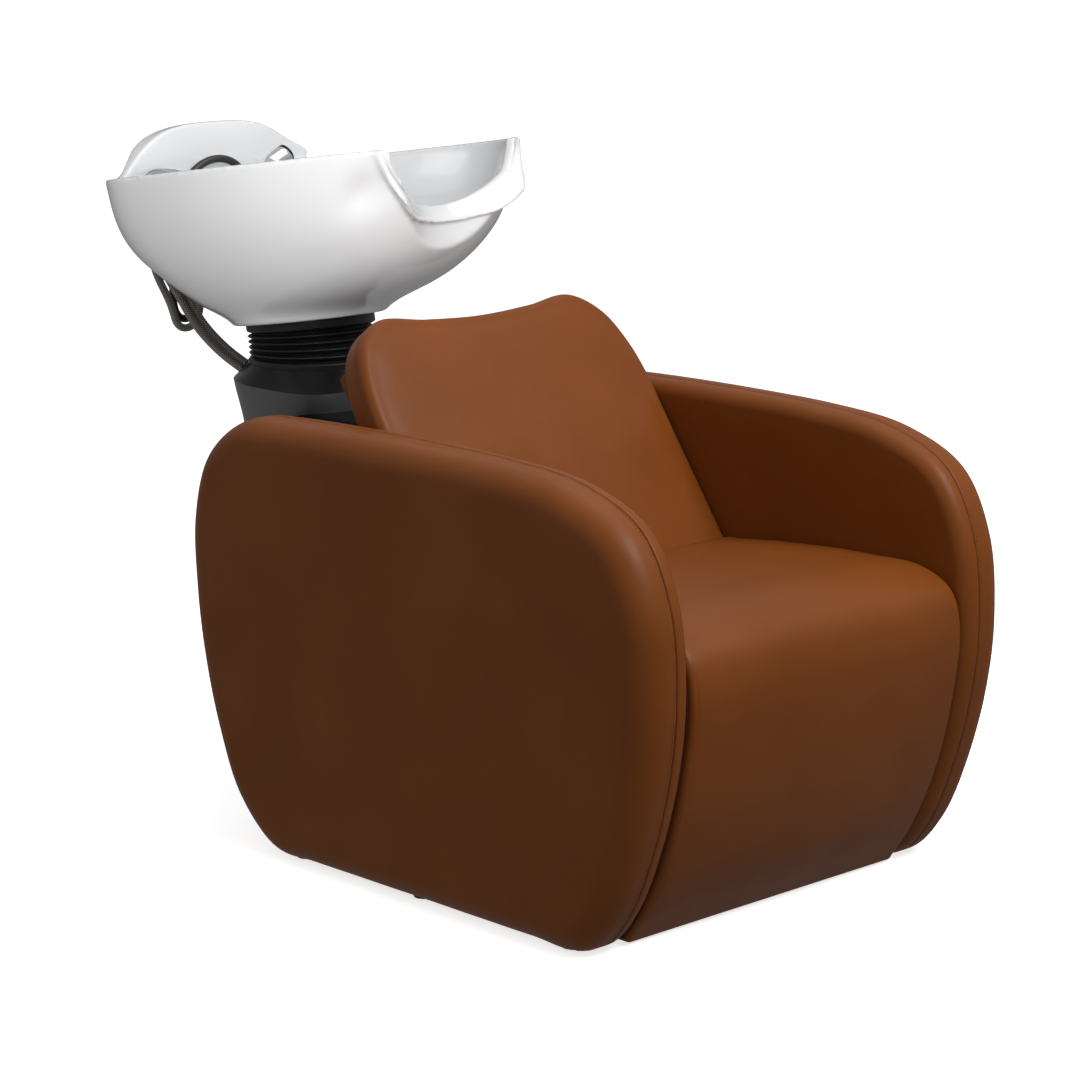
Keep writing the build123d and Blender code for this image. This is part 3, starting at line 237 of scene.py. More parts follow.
VINYL_LOW = (0.172, 0.045, 0.005)
VINYL_HIGH = (0.202, 0.054, 0.007)
MATERIALS = {
    "tan_vinyl": vinyl("tan_vinyl", VINYL_LOW, VINYL_HIGH, (0.40, 0.50)),
    "plywood": plywood("plywood"),
    "black_steel": moulded("black_steel", (0.020, 0.020, 0.023), (0.034, 0.034, 0.037), (0.38, 0.5),
                           grain=1500.0),
    "white_ceramic": moulded("white_ceramic", (0.74, 0.745, 0.755), (0.77, 0.775, 0.785), (0.035, 0.06),
                             coat=0.4, grain=60.0, depth=0.00006, scale=4.0),
    "grey_plastic": moulded("grey_plastic", (0.105, 0.105, 0.108), (0.130, 0.130, 0.133), (0.34, 0.44)),
    "black_plastic": moulded("black_plastic", (0.004, 0.004, 0.005), (0.008, 0.008, 0.009), (0.14, 0.22),
                             shine=0.3),
    "black_rubber": moulded("black_rubber", (0.010, 0.010, 0.010), (0.020, 0.020, 0.020), (0.36, 0.52)),
    "chrome": moulded("chrome", (0.84, 0.85, 0.87), (0.90, 0.91, 0.93), (0.03, 0.07), metal=1.0,
                      grain=300.0, depth=0.000008, scale=30.0),
    "braid": braided("braid"),
    "zinc_steel": moulded("zinc_steel", (0.44, 0.45, 0.47), (0.60, 0.60, 0.60), (0.28, 0.42), metal=1.0,
                          scale=90.0),
    "bronze": moulded("bronze", (0.42, 0.26, 0.10), (0.55, 0.36, 0.15), (0.30, 0.44), metal=1.0, scale=60.0),
    "white_plastic": moulded("white_plastic", (0.76, 0.76, 0.74), (0.82, 0.82, 0.80), (0.28, 0.36)),
    "grey_pvc": moulded("grey_pvc", (0.30, 0.31, 0.32), (0.37, 0.38, 0.39), (0.32, 0.44)),
}
THREAD = moulded("thread", (0.12, 0.040, 0.010), (0.16, 0.054, 0.014), (0.55, 0.7), grain=2500.0)

for subpart in frame["record"]["subparts"]:
    cad_node = NODES[subpart["node"]]
    if not cad_node.material_slots:
        cad_node.data.materials.append(None)
    for cad_slot in cad_node.material_slots:
        cad_slot.material = MATERIALS[subpart["material_slot"]]


# ---------------------------------------------------------------- mesh helpers
def new_object(name, vertices, faces, slot, body=None):
    """A mesh piece with a material, riding on a body if one is named. A slot not among the materials, such as
    thread, gets the thread's own material.
    """
    mesh = bpy.data.meshes.new(name)
    mesh.from_pydata([tuple(v) for v in vertices], [], faces)
    mesh.validate()
    mesh.polygons.foreach_set("use_smooth", [True] * len(mesh.polygons))
    mesh.materials.append(MATERIALS[slot] if slot in MATERIALS else THREAD)
    mesh.update()
    piece = bpy.data.objects.new(name, mesh)
    bpy.context.scene.collection.objects.link(piece)
    if body:
        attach(piece, body)
    return piece


def rings_to_mesh(rings, capped=True):
    """Vertices and faces through closed rings of equally many points."""
    count = len(rings[0])
    vertices = [p for ring in rings for p in ring]
    faces = []
    for j in range(len(rings) - 1):
        for i in range(count):
            k = (i + 1) % count
            faces.append((j * count + i, j * count + k, (j + 1) * count + k, (j + 1) * count + i))
    if capped:
        faces.append(tuple(reversed(range(count))))
        faces.append(tuple(range((len(rings) - 1) * count, len(rings) * count)))
    return vertices, faces


def catmull(points, per_span, closed):
    """A smooth line through points, given as arrays."""
    count = len(points)
    spans = count if closed else count - 1
    line = []
    for i in range(spans):
        if closed:
            p0, p1, p2, p3 = (points[(i + k) % count] for k in (-1, 0, 1, 2))
        else:
            p1, p2 = points[i], points[i + 1]
            p0 = points[i - 1] if i > 0 else 2 * p1 - p2
            p3 = points[i + 2] if i + 2 < count else 2 * p2 - p1
        steps = [max(float(np.linalg.norm(b - a)), 1e-9) ** 0.5 for a, b in ((p0, p1), (p1, p2), (p2, p3))]
        t0, t1 = 0.0, steps[0]
        t2 = t1 + steps[1]
        t3 = t2 + steps[2]
        for j in range(per_span):
            t = t1 + (t2 - t1) * j / per_span
            a1 = (t1 - t) / (t1 - t0) * p0 + (t - t0) / (t1 - t0) * p1
            a2 = (t2 - t) / (t2 - t1) * p1 + (t - t1) / (t2 - t1) * p2
            a3 = (t3 - t) / (t3 - t2) * p2 + (t - t2) / (t3 - t2) * p3
            b1 = (t2 - t) / (t2 - t0) * a1 + (t - t0) / (t2 - t0) * a2
            b2 = (t3 - t) / (t3 - t1) * a2 + (t - t1) / (t3 - t1) * a3
            line.append((t2 - t) / (t2 - t1) * b1 + (t - t1) / (t2 - t1) * b2)
    if not closed:
        line.append(points[-1])
    return np.array(line)


def evenly(line, count, closed):
    """Points at equal steps along a line."""
    line = np.array(line)
    if closed:
        line = np.vstack([line, line[:1]])
    reach = np.concatenate([[0], np.cumsum(np.linalg.norm(np.diff(line, axis=0), axis=1))])
    stops = np.linspace(0, reach[-1], count + 1)[:-1] if closed else np.linspace(0, reach[-1], count)
    return np.stack([np.interp(stops, reach, line[:, k]) for k in range(line.shape[1])], axis=1)


def outward(line):
    """Unit normals in the plane of a closed line, pointing away from its inside."""
    along = np.roll(line, -1, axis=0) - np.roll(line, 1, axis=0)
    along /= np.linalg.norm(along, axis=1)[:, None]
    normals = np.stack([along[:, 1], -along[:, 0]], axis=1)
    area = np.sum(line[:, 0] * np.roll(line[:, 1], -1) - np.roll(line[:, 0], -1) * line[:, 1])
    return normals if area > 0 else -normals


SQUARED_ROUND = 0.7


def swept(path, sizes, sides, flat=None):
    """Rings along a path. Each size is a radius, or half a width and half a height with a flat direction."""
    path = [Vector(p) for p in path]
    rings = []
    side = None
    for i, point in enumerate(path):
        ahead = path[min(i + 1, len(path) - 1)] - path[max(i - 1, 0)]
        ahead.normalize()
        if side is None:
            side = Vector(flat) if flat else ahead.orthogonal()
        side = (side - ahead * side.dot(ahead)).normalized()
        other = ahead.cross(side)
        flattened = isinstance(sizes[i], tuple)
        half_side, half_other = sizes[i] if flattened else (sizes[i], sizes[i])
        power = SQUARED_ROUND if flattened else 1.0
        ring = []
        for k in range(sides):
            turn = 2 * math.pi * k / sides
            c = math.copysign(abs(math.cos(turn)) ** power, math.cos(turn))
            s = math.copysign(abs(math.sin(turn)) ** power, math.sin(turn))
            ring.append(point + side * half_side * c + other * half_other * s)
        rings.append(ring)
    return rings


AXIS_HOLE_R = 0.05


def lathe(profile, foot, up, sides):
    """Rings turned about an axis: each point of the profile is a radius and a height, in mm."""
    foot = Vector(foot)
    up = Vector(up).normalized()
    side = up.orthogonal().normalized()
    other = up.cross(side)
    rings = []
    for radius, height in profile:
        centre = foot + up * height * MM
        ring = []
        for k in range(sides):
            turn = 2 * math.pi * k / sides
            spoke = side * math.cos(turn) + other * math.sin(turn)
            ring.append(centre + spoke * max(radius, AXIS_HOLE_R) * MM)
        rings.append(ring)
    return rings


def softened(profile, reach):
    """A profile with a small chamfered round at each corner."""
    out = [profile[0]]
    for before, at, after in zip(profile, profile[1:], profile[2:]):
        at_v = Vector((*at, 0))
        back = Vector((*before, 0)) - at_v
        on = Vector((*after, 0)) - at_v
        cut = min(reach, back.length * 0.45, on.length * 0.45)
        first = at_v + back.normalized() * cut
        second = at_v + on.normalized() * cut
        for share in (0.0, 0.33, 0.67, 1.0):
            bent = first.lerp(at_v, share).lerp(at_v.lerp(second, share), share)
            out.append((bent.x, bent.y))
    out.append(profile[-1])
    return out


UP = tilted(0, 0, 1) - tilted(0, 0, 0)


def turned(name, profile, foot, up, slot, body, reach=1.0, sides=64):
    """A turned piece with softened edges."""
    return new_object(name, *rings_to_mesh(lathe(softened(profile, reach), foot, up, sides)), slot, body)


# thread, in metres
STITCH_LENGTH = 0.0032
ARM_STITCH_LENGTH = 0.0033
THREAD_R = 0.0006
THREAD_FLATNESS = 0.8


def stitches(name, spots, length, body):
    """One thread stitch at each spot: a place, the seam's direction and the surface's normal."""
    vertices = []
    faces = []
    sides = 6
    shares = ((-0.5, 0.3), (-0.36, 1.0), (0.36, 1.0), (0.5, 0.3))
    for place, along, normal in spots:
        along = Vector(along).normalized()
        normal = Vector(normal).normalized()
        across = along.cross(normal).normalized()
        first = len(vertices)
        for share, size in shares:
            for k in range(sides):
                turn = 2 * math.pi * k / sides
                rise = normal * math.sin(turn) * THREAD_R * size * THREAD_FLATNESS
                spread = across * math.cos(turn) * THREAD_R * size
                vertices.append(Vector(place) + along * share * length + spread + rise)
        for j in range(len(shares) - 1):
            for k in range(sides):
                m = (k + 1) % sides
                faces.append((first + j * sides + k, first + j * sides + m,
                              first + (j + 1) * sides + m, first + (j + 1) * sides + k))
        faces.append(tuple(first + k for k in reversed(range(sides))))
        faces.append(tuple(first + (len(shares) - 1) * sides + k for k in range(sides)))
    return new_object(name, vertices, faces, "thread", body)


# ---------------------------------------------------------------- hoses
HOSE_R = 5.5
HOSE_SIDES = 20
MIXER_TAIL_W = 171
VALVE_Y = 588
VALVE_Z = 216
SUPPLY_OFFSET = (5.2, 0, 3.2)
SUPPLY_CENTRE = [(-136, 687, 711), (-121, 684, 687), (-108, 680, 661), (-90, 676, 633),
                 (-64.5, 662, 601.4), (-46, 641, 581), (-24, 616, 557)]


def supply_route(side, tail, upper, lower):
    """A supply hose's route: from the mixer's tail into the pedestal and down to its stop valve."""
    across, back, straight = tail
    route = [tilted(across, back, MIXER_TAIL_W), tilted(across, back, MIXER_TAIL_W - straight)]
    route.append(world(*upper))
    route += [world(*(a + side * b for a, b in zip(point, SUPPLY_OFFSET))) for point in SUPPLY_CENTRE]
    return route + [world(*p) for p in lower] + [world(lower[-1][0], VALVE_Y, VALVE_Z)]


HOT_ROUTE = supply_route(1, (-151, 118.5, 11), (-140.5, 678.5, 729),
                         [(-10, 606, 520), (12, 602, 480), (34, 594, 440), (50, 586, 385), (47, 588, 310)])
COLD_ROUTE = supply_route(-1, (-163.5, 122.5, 17), (-149.5, 688, 723.5),
                          [(-30, 602, 518), (-44, 592, 460), (-50, 586, 390), (-47, 588, 310)])
LOOP_BEND = [(-156, 700, 723.5), (-147, 703, 708), (-134, 709, 692), (-122, 712, 673), (-116, 712.5, 658),
             (-112, 712, 643.4), (-102.6, 711, 634), (-89.4, 708, 634), (-80, 705, 643.4), (-77, 701, 659),
             (-79, 696, 680), (-85, 692, 702), (-94, 688.5, 722)]
LOOP_ROUTE = [tilted(MIXER_U, 136.5, MIXER_TAIL_W), tilted(MIXER_U, 136.5, 157)]
LOOP_ROUTE += [world(*p) for p in LOOP_BEND]
LOOP_ROUTE += [tilted(NIPPLE_U, FITTING_V, w) for w in (163, 177)]
SHOWER_ARC = [(NIPPLE_U, 229), (NIPPLE_U, 253), (-84, 277), (-58, 291), (-30, 295), (-4, 287),
              (12, 268), (16, 242), (16.6, 207), (16, 172)]
SHOWER_LOOP = [(12, 693, 735), (0, 698, 723), (-20, 704, 720), (-46, 713, 724), (-74, 722, 724),
               (-96, 728, 712), (-103, 729, 694), (-103.5, 729, 674), (-100, 728.5, 654.5),
               (-89.5, 728, 644), (-74.5, 727, 644), (-64, 726, 654.5), (-60.5, 725, 672),
               (-54, 723, 691), (-36, 719, 704), (-8, 713, 708), (18, 706, 712), (37, 696, 724)]
SHOWER_RISE = [(47, 165), (47.5, 197), (47, 225.7)]
SHOWER_ROUTE = [tilted(u, FITTING_V, w) for u, w in SHOWER_ARC]
SHOWER_ROUTE += [world(*p) for p in SHOWER_LOOP]
SHOWER_ROUTE += [tilted(u, FITTING_V, w) for u, w in SHOWER_RISE]


def spline_line(name, route):
    """Points read from the smooth line of a route."""
    curve = bpy.data.curves.new(name + "_line", "CURVE")
    curve.dimensions = "3D"
    curve.resolution_u = 10
    spline = curve.splines.new("NURBS")
    spline.points.add(len(route) - 1)
    for point, place in zip(spline.points, route):
        point.co = (*place, 1)
    spline.order_u = 3
    spline.use_endpoint_u = True
    holder = bpy.data.objects.new(name + "_line", curve)
    bpy.context.scene.collection.objects.link(holder)
    bpy.context.view_layer.update()
    mesh = bpy.data.meshes.new_from_object(holder)
    line = [v.co.copy() for v in mesh.vertices]
    bpy.data.objects.remove(holder)
    bpy.data.curves.remove(curve)
    bpy.data.meshes.remove(mesh)
    kept = [line[0]]
    for point in line[1:]:
        if (point - kept[-1]).length > 1e-5:
            kept.append(point)
    return kept


def hose(name, node, route, slot):
    """A round hose as a mesh tube, its texture laid out along and around it."""
    line = spline_line(name, route)
    rings = swept(line, [HOSE_R * MM] * len(line), HOSE_SIDES)
    vertices, faces = rings_to_mesh(rings)
    piece = new_object(name, vertices, faces, slot)
    layer = piece.data.uv_layers.new(name="along")
    reach = [0.0]
    for before, after in zip(line, line[1:]):
        reach.append(reach[-1] + (after - before).length)
    for face in piece.data.polygons:
        columns = [piece.data.loops[i].vertex_index % HOSE_SIDES for i in face.loop_indices]
        wraps = max(columns) - min(columns) > HOSE_SIDES // 2
        for i, column in zip(face.loop_indices, columns):
            ring = piece.data.loops[i].vertex_index // HOSE_SIDES
            around = column + (HOSE_SIDES if wraps and column < HOSE_SIDES // 2 else 0)
            layer.data[i].uv = (reach[ring], around / HOSE_SIDES * 2 * math.pi * HOSE_R * MM)
    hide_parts(node)
    return piece


cold_hose = hose("cold_braided_hose", "cold_supply_hose", COLD_ROUTE, "braid")
hot_hose = hose("hot_braided_hose", "hot_supply_hose", HOT_ROUTE, "braid")
loop_hose = hose("loop_braided_hose", "mixer_outlet_hose", LOOP_ROUTE, "braid")
shower_hose = hose("black_shower_hose", "hand_shower_hose", SHOWER_ROUTE, "black_rubber")
for supply in (cold_hose, hot_hose):
    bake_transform(supply)
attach(loop_hose, "basin_unit")
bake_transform(shower_hose)

# ---------------------------------------------------------------- arms
SEAT_HALF = 250.0
ARM_IN = 252.5
SEAM_X = 280.0
ARM_OUT = 337.5
ARM_FRONT = -449.0
ARM_REAR = 416.0
ARM_TOP = 589.0
ARM_MIDDLE = (-16.5, 300.0)
FLOOR_GAP = 4.0
OUTLINE_POINTS = 560
OUTER_EDGE_R = 38.0
INNER_EDGE_R = 21.0
ARM_STITCHES = 470
ARM_STITCH_OFF = 4.5
PANEL_UNEVEN = 0.8
PANEL_UNEVEN_SCALE = 0.006


def arm_outline():
    """The drum-shaped side of an arm, in mm: y and z."""
    front, rear, top, low = ARM_FRONT, ARM_REAR, ARM_TOP, FLOOR_GAP
    points = [(front + 125, low), (front + 78, low + 48), (front + 38, low + 136), (front + 10, low + 238),
              (front, low + 336), (front + 12, top - 140), (front + 58, top - 56), (front + 150, top - 14),
              (front + 280, top), (rear - 180, top - 2), (rear - 96, top - 12), (rear - 30, top - 62),
              (rear, top - 150), (rear - 2, low + 336), (rear - 16, low + 244), (rear - 44, low + 148),
              (rear - 88, low + 58), (rear - 160, low), (rear - 240, low - 3), (rear - 340, low - 3),
              (front + 430, low - 3), (front + 320, low - 3), (front + 210, low - 3)]
    return evenly(catmull(np.array(points, float), 12, True), OUTLINE_POINTS, True)


def arm_rings(side, out, levels, centre_levels):
    """Rings of an arm's pad. A level is how far out from the seam and how far in from the outline, in mm."""
    rings = []
    base = arm_outline()
    normals = outward(base)
    centre = np.array(ARM_MIDDLE)
    for along, inset in levels:
        ring = []
        for i in range(OUTLINE_POINTS):
            gathers = noise.noise(Vector((i * 0.31, side * 3.0, out * 7.0)))
            pucker = math.exp(-(along / 6.0) ** 2) * 0.5 * gathers
            soft = 0.5 * noise.noise(Vector((i * 0.035, along * 0.02, side * 2.0 + out)))
            y, z = base[i] - normals[i] * (inset + pucker + soft)
            ring.append((y, max(z, FLOOR_GAP)))
        rings.append((SEAM_X + out * along, ring))
    last = np.array(rings[-1][1])
    for along, share in centre_levels:
        ring = centre + (last - centre) * share
        ring[:, 1] = np.maximum(ring[:, 1], FLOOR_GAP)
        rings.append((SEAM_X + out * along, [tuple(p) for p in ring]))
    out_rings = []
    for x, ring in rings:
        on_panel = abs(x - ARM_OUT) < 4
        moved = []
        for y, z in ring:
            spot = Vector((y * PANEL_UNEVEN_SCALE, z * PANEL_UNEVEN_SCALE, side))
            bulge = noise.noise(spot) * PANEL_UNEVEN if on_panel else 0.0
            moved.append(Vector((side * (x + bulge), y, z)) * MM)
        out_rings.append(moved)
    return out_rings


# the seam's groove: how far out from the seam and how far in from the outline
GROOVE = [(0.0, 3.4), (0.5, 1.8), (1.2, 0.7), (2.2, 0.1), (3.6, 0.0), (5.5, 0.0)]


def edge_levels(depth, radius, steps):
    """Levels of a pad: the seam's groove, its straight stretch and its rounded edge."""
    levels = list(GROOVE)
    straight = depth - radius
    past_groove = 8.0
    if straight > past_groove:
        levels += [(past_groove, 0.0), ((past_groove + straight) / 2, 0.0), (straight, 0.0)]
    for i in range(1, steps + 1):
        turn = math.pi / 2 * i / steps
        along = straight + radius * math.sin(turn)
        if along > levels[-1][0]:
            levels.append((along, radius * (1 - math.cos(turn))))
    return levels


outer_depth = ARM_OUT - SEAM_X
inner_depth = SEAM_X - ARM_IN
for side, word in ((-1, "left"), (1, "right")):
    outer_levels = edge_levels(outer_depth - 2.5, OUTER_EDGE_R, 12)
    centre_levels = [(outer_depth - 1.9, 0.93), (outer_depth - 1.2, 0.80), (outer_depth - 0.4, 0.62),
                     (outer_depth, 0.42), (outer_depth + 0.2, 0.22), (outer_depth + 0.3, 0.04)]
    vertices, faces = rings_to_mesh(arm_rings(side, 1, outer_levels, centre_levels))
    outer = new_object(f"{word}_arm_outer_vinyl", vertices, faces, "tan_vinyl", "chair")
    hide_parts(f"{word}_arm_outer_pad")
    inner_levels = edge_levels(inner_depth, INNER_EDGE_R, 9)
    inner_centre = [(inner_depth + 0.2, 0.9), (inner_depth + 0.4, 0.6), (inner_depth + 0.4, 0.3),
                    (inner_depth + 0.4, 0.04)]
    vertices, faces = rings_to_mesh(arm_rings(side, -1, inner_levels, inner_centre))
    inner = new_object(f"{word}_arm_inner_vinyl", vertices, faces, "tan_vinyl", "chair")
    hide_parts(f"{word}_arm_inner_pad")
    line = evenly(arm_outline(), ARM_STITCHES, True)
    normals = outward(line)
    spots = []
    for i in range(len(line)):
        y, z = line[i]
        if z > FLOOR_GAP + 3:
            run = line[(i + 1) % len(line)] - line[i - 1]
            place = Vector((side * (SEAM_X + ARM_STITCH_OFF), y, z)) * MM
            spots.append((place, (0, *run), (0, *normals[i])))
    stitches(f"{word}_arm_stitches", spots, ARM_STITCH_LENGTH, "chair")

# ---------------------------------------------------------------- seat cushion
SEAT_HEIGHT = 412.0
UNDER_SEAT = 320.0
SEAT_FRONT = -446.0
BACK_LEAN = math.radians(35.4)
BACK_AT_SEAT_Y = -18.0
SEAT_CROWN = 8.0
SEAT_CORNER_REACH = 56.0
SEAT_UNEVEN = 0.9
SEAT_UNEVEN_HALF = 244.0
SEAT_STITCH_ROWS = (10.0, 17.0)
SEAT_STITCHES = 200


def back_y(z):
    """Where the back's front face is, at a height."""
    return BACK_AT_SEAT_Y - (SEAT_HEIGHT - z) * math.tan(BACK_LEAN)


def seat_profile():
    """The seat's closed outline in mm (y and z), and how much each point takes of the crown."""
    rear_z = SEAT_HEIGHT - 19
    front, top = SEAT_FRONT, SEAT_HEIGHT
    skin = [(front + 110, FLOOR_GAP), (front + 72, 60), (front + 36, 140), (front + 10, 240),
            (front, top - 72), (front + 16, top - 26), (front + 66, top - 2), (front + 150, top),
            (front + 270, top - 5), (back_y(rear_z) - 2, rear_z)]
    skin = evenly(catmull(np.array(skin, float), 14, False), 230, False)
    under = [(back_y(UNDER_SEAT) - 2, UNDER_SEAT + 0.5), (SEAT_FRONT + 76, UNDER_SEAT + 0.5),
             (SEAT_FRONT + 156, FLOOR_GAP)]
    rest = evenly(np.vstack([skin[-1:], np.array(under, float), skin[:1]]), 110, False)[1:-1]
    crown = []
    for i in range(len(skin)):
        share = i / (len(skin) - 1)
        crown.append(min(1.0, share / 0.12) * min(1.0, (1 - share) / 0.10))
    return np.vstack([skin, rest]), np.array(crown + [0.0] * len(rest)), len(skin)


seat_line, seat_crown, skin_count = seat_profile()
seat_normals = outward(seat_line)
rear_corner = seat_line[skin_count - 1]
# how much of an inset each point takes: none at the sharp rear corner, and less near the floor
seat_room = np.clip(np.linalg.norm(seat_line - rear_corner, axis=1) / SEAT_CORNER_REACH, 0.0, 1.0)
seat_room = np.minimum(seat_room, np.clip((seat_line[:, 1] + 30) / 100, 0.55, 1.0))


def seat_ring(x, inset, crown):
    """One ring of the seat at x, drawn in from its outline or swelling from it."""
    ring = []
    for i in range(len(seat_line)):
        swell = crown * seat_crown[i]
        if i < skin_count and abs(x) < SEAT_UNEVEN_HALF:
            swell += SEAT_UNEVEN * seat_crown[i] * noise.noise(Vector((x * 0.016, i * 0.045, 4.0)))
        y, z = seat_line[i] + seat_normals[i] * (swell - inset * seat_room[i])
        ring.append(Vector((x, y, max(z, FLOOR_GAP))) * MM)
    return ring


# a cushion's boxed side with its seam groove: inset, and how far the ring stands out sideways
SIDE_STEPS = [(-26.0, 0.0), (-18.0, 0.0), (-15.5, -0.2), (-14.3, -1.2), (-13.5, -1.9), (-12.7, -1.2),
              (-11.5, -0.2), (-9.0, 0.0)]
EDGE_R = 9.0
EDGE_STEPS = 6
CROWN_RINGS = 36


def side_rings(half, ring):
    """Rings from one side's middle over its seam and its rounded edge; a ring takes x, inset and crown."""
    rings = [ring(half + dx, -inset, 0.0) for inset, dx in SIDE_STEPS]
    for k in range(1, EDGE_STEPS + 1):
        turn = math.pi / 2 * k / EDGE_STEPS
        rings.append(ring(half - EDGE_R + EDGE_R * math.cos(turn), EDGE_R * (1 - math.sin(turn)), 0.0))
    return rings


def crowned_rings(half, ring, crown):
    """Rings across the middle of a cushion."""
    rings = []
    for k in range(1, CROWN_RINGS):
        x = (half - EDGE_R) * math.cos(math.pi * k / CROWN_RINGS)
        rings.append(ring(x, 0.0, crown * (1 - (x / (half - EDGE_R)) ** 2) ** 0.7))
    return rings


def both_sides(half, ring, crown):
    """All rings from one side to the other."""
    right = side_rings(half, ring)
    left = [[Vector((-p.x, p.y, p.z)) for p in points] for points in right]
    middle = crowned_rings(half, ring, crown)
    return right + middle + left[::-1]


seat_rings = both_sides(SEAT_HALF, seat_ring, SEAT_CROWN)
seat = new_object("seat_vinyl", *rings_to_mesh(seat_rings), "tan_vinyl", "chair")
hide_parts("seat_cushion")
seat_spots = []
seam_line = evenly(seat_line[:skin_count], SEAT_STITCHES, False)
seam_normals = outward(np.vstack([seam_line, [[0, 300]]]))[:-1]
for i in range(1, len(seam_line) - 1):
    run = seam_line[i + 1] - seam_line[i - 1]
    for inset in SEAT_STITCH_ROWS:
        y, z = seam_line[i] - seam_normals[i] * inset
        for side in (-1, 1):
            if z > FLOOR_GAP + 8:
                seat_spots.append((Vector((side * SEAT_HALF, y, z)) * MM, (0, *run), (side, 0, 0)))
stitches("seat_stitches", seat_spots, STITCH_LENGTH, "chair")

# ---------------------------------------------------------------- back cushion
BACK_FOAM = 48.0
BACK_LENGTH = 370.0
BACK_SHOULDER = 236.0
BACK_HUMP_X = 174.0
BACK_DIP = 12.0
BACK_CROWN = 9.2
BACK_STRAIGHT_FROM = BACK_SHOULDER - 60
BACK_FOOT_UP = -76
BACK_FOOT_R = 36
BACK_EDGE_R = 13
BACK_EDGE_STEPS = 8
BACK_STITCH_ROWS = (14.5, 21.5)
BACK_STITCHES = 420
BACK_POINTS = 520
BACK_MIDDLE = (0.0, 120.0)
BACK_UNEVEN = 0.8
BACK_TOP_FADE = 80
BACK_LOW_FROM = -50
BACK_LOW_FADE = 190
BACK_CROWN_BLEND = 0.07
# the seam round the back, as depth and inset, and the shares at which its face is drawn to the middle
BACK_SEAM = ((22, 0.0), (20, 0.2), (18.8, 1.2), (18.0, 1.9), (17.2, 1.2), (16, 0.2), (14, 0.0))
BACK_SHARES = (0.98, 0.96, 0.93, 0.89, 0.84, 0.78, 0.71, 0.63, 0.55, 0.46, 0.37, 0.28, 0.19, 0.1, 0.02)


def back_place(x, up, depth):
    """A point of the leaning back: across, up the slope and rearwards from its front face, in mm."""
    y = BACK_AT_SEAT_Y + up * math.sin(BACK_LEAN) + depth * math.cos(BACK_LEAN)
    z = SEAT_HEIGHT + up * math.cos(BACK_LEAN) - depth * math.sin(BACK_LEAN)
    return Vector((x, y, max(z, UNDER_SEAT + 1))) * MM


def back_outline():
    """The back seen square on, in mm: rounded shoulders, two humps and a shallow dip."""
    top = BACK_LENGTH
    right = [(SEAT_HALF, BACK_STRAIGHT_FROM), (SEAT_HALF, BACK_SHOULDER), (SEAT_HALF - 8, BACK_SHOULDER + 52),
             (SEAT_HALF - 30, top - 32), (BACK_HUMP_X, top), (BACK_HUMP_X - 80, top - BACK_DIP * 0.6),
             (0, top - BACK_DIP)]
    left = [(-x, up) for x, up in reversed(right[:-1])]
    head = catmull(np.array(right + left, float), 10, False)
    corner = []
    for degrees in range(0, 91, 9):
        turn = math.radians(degrees)
        corner.append((SEAT_HALF - BACK_FOOT_R + BACK_FOOT_R * math.sin(turn),
                       BACK_FOOT_UP - BACK_FOOT_R * math.cos(turn)))
    foot = [(-x, up) for x, up in reversed(corner)] + corner + [(SEAT_HALF, BACK_STRAIGHT_FROM)]
    return evenly(np.vstack([head, foot]), BACK_POINTS, True)


back_line = back_outline()
back_normals = outward(back_line)


def back_ring(inset, depth, share=1.0):
    """One ring of the back, drawn in from its outline and set rearwards."""
    ring = []
    centre = np.array(BACK_MIDDLE)
    for i in range(len(back_line)):
        x, up = back_line[i] - back_normals[i] * inset
        x, up = centre + (np.array((x, up)) - centre) * share
        across = max(0.0, 1 - (abs(x) / (SEAT_HALF - BACK_EDGE_R)) ** 2.4) ** 0.7
        above = min(1.0, max(0.0, (BACK_LENGTH - BACK_EDGE_R - up) / BACK_TOP_FADE))
        below = min(1.0, max(0.0, (up - BACK_LOW_FROM) / BACK_LOW_FADE))
        hollow = noise.noise(Vector((x * 0.015, up * 0.015, 9.0)))
        swell = BACK_CROWN * across * (1 - (1 - above) ** 2) * below * below * (3 - 2 * below)
        raise_by = (swell + BACK_UNEVEN * hollow) * min(1.0, (1 - share) / BACK_CROWN_BLEND)
        ring.append(back_place(x, up, depth - raise_by))
    return ring


back_rings = [back_ring(20, BACK_FOAM, 0.9), back_ring(8, BACK_FOAM), back_ring(3, BACK_FOAM - 1.5),
              back_ring(0.5, BACK_FOAM - 5), back_ring(0, BACK_FOAM - 12), back_ring(0, 24)]
for depth, inset in BACK_SEAM:
    back_rings.append(back_ring(inset, depth))
for k in range(1, BACK_EDGE_STEPS + 1):
    turn = math.pi / 2 * k / BACK_EDGE_STEPS
    back_rings.append(back_ring(BACK_EDGE_R * (1 - math.cos(turn)), BACK_EDGE_R * (1 - math.sin(turn))))
for share in BACK_SHARES:
    back_rings.append(back_ring(BACK_EDGE_R, 0, share))
back = new_object("back_vinyl", *rings_to_mesh(back_rings), "tan_vinyl", "chair")
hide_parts("back_cushion")
back_spots = []
stitch_line = evenly(back_line, BACK_STITCHES, True)
stitch_normals = outward(stitch_line)
for i in range(len(stitch_line)):
    x, up = stitch_line[i]
    if up > 6:
        run = stitch_line[(i + 1) % len(stitch_line)] - stitch_line[i - 1]
        along = back_place(x + run[0], up + run[1], 0) - back_place(x, up, 0)
        nx, nu = stitch_normals[i]
        normal = back_place(x + nx, up + nu, 0) - back_place(x, up, 0)
        for depth in BACK_STITCH_ROWS:
            back_spots.append((back_place(x, up, depth), along, normal))
stitches("back_stitches", back_spots, STITCH_LENGTH, "chair")

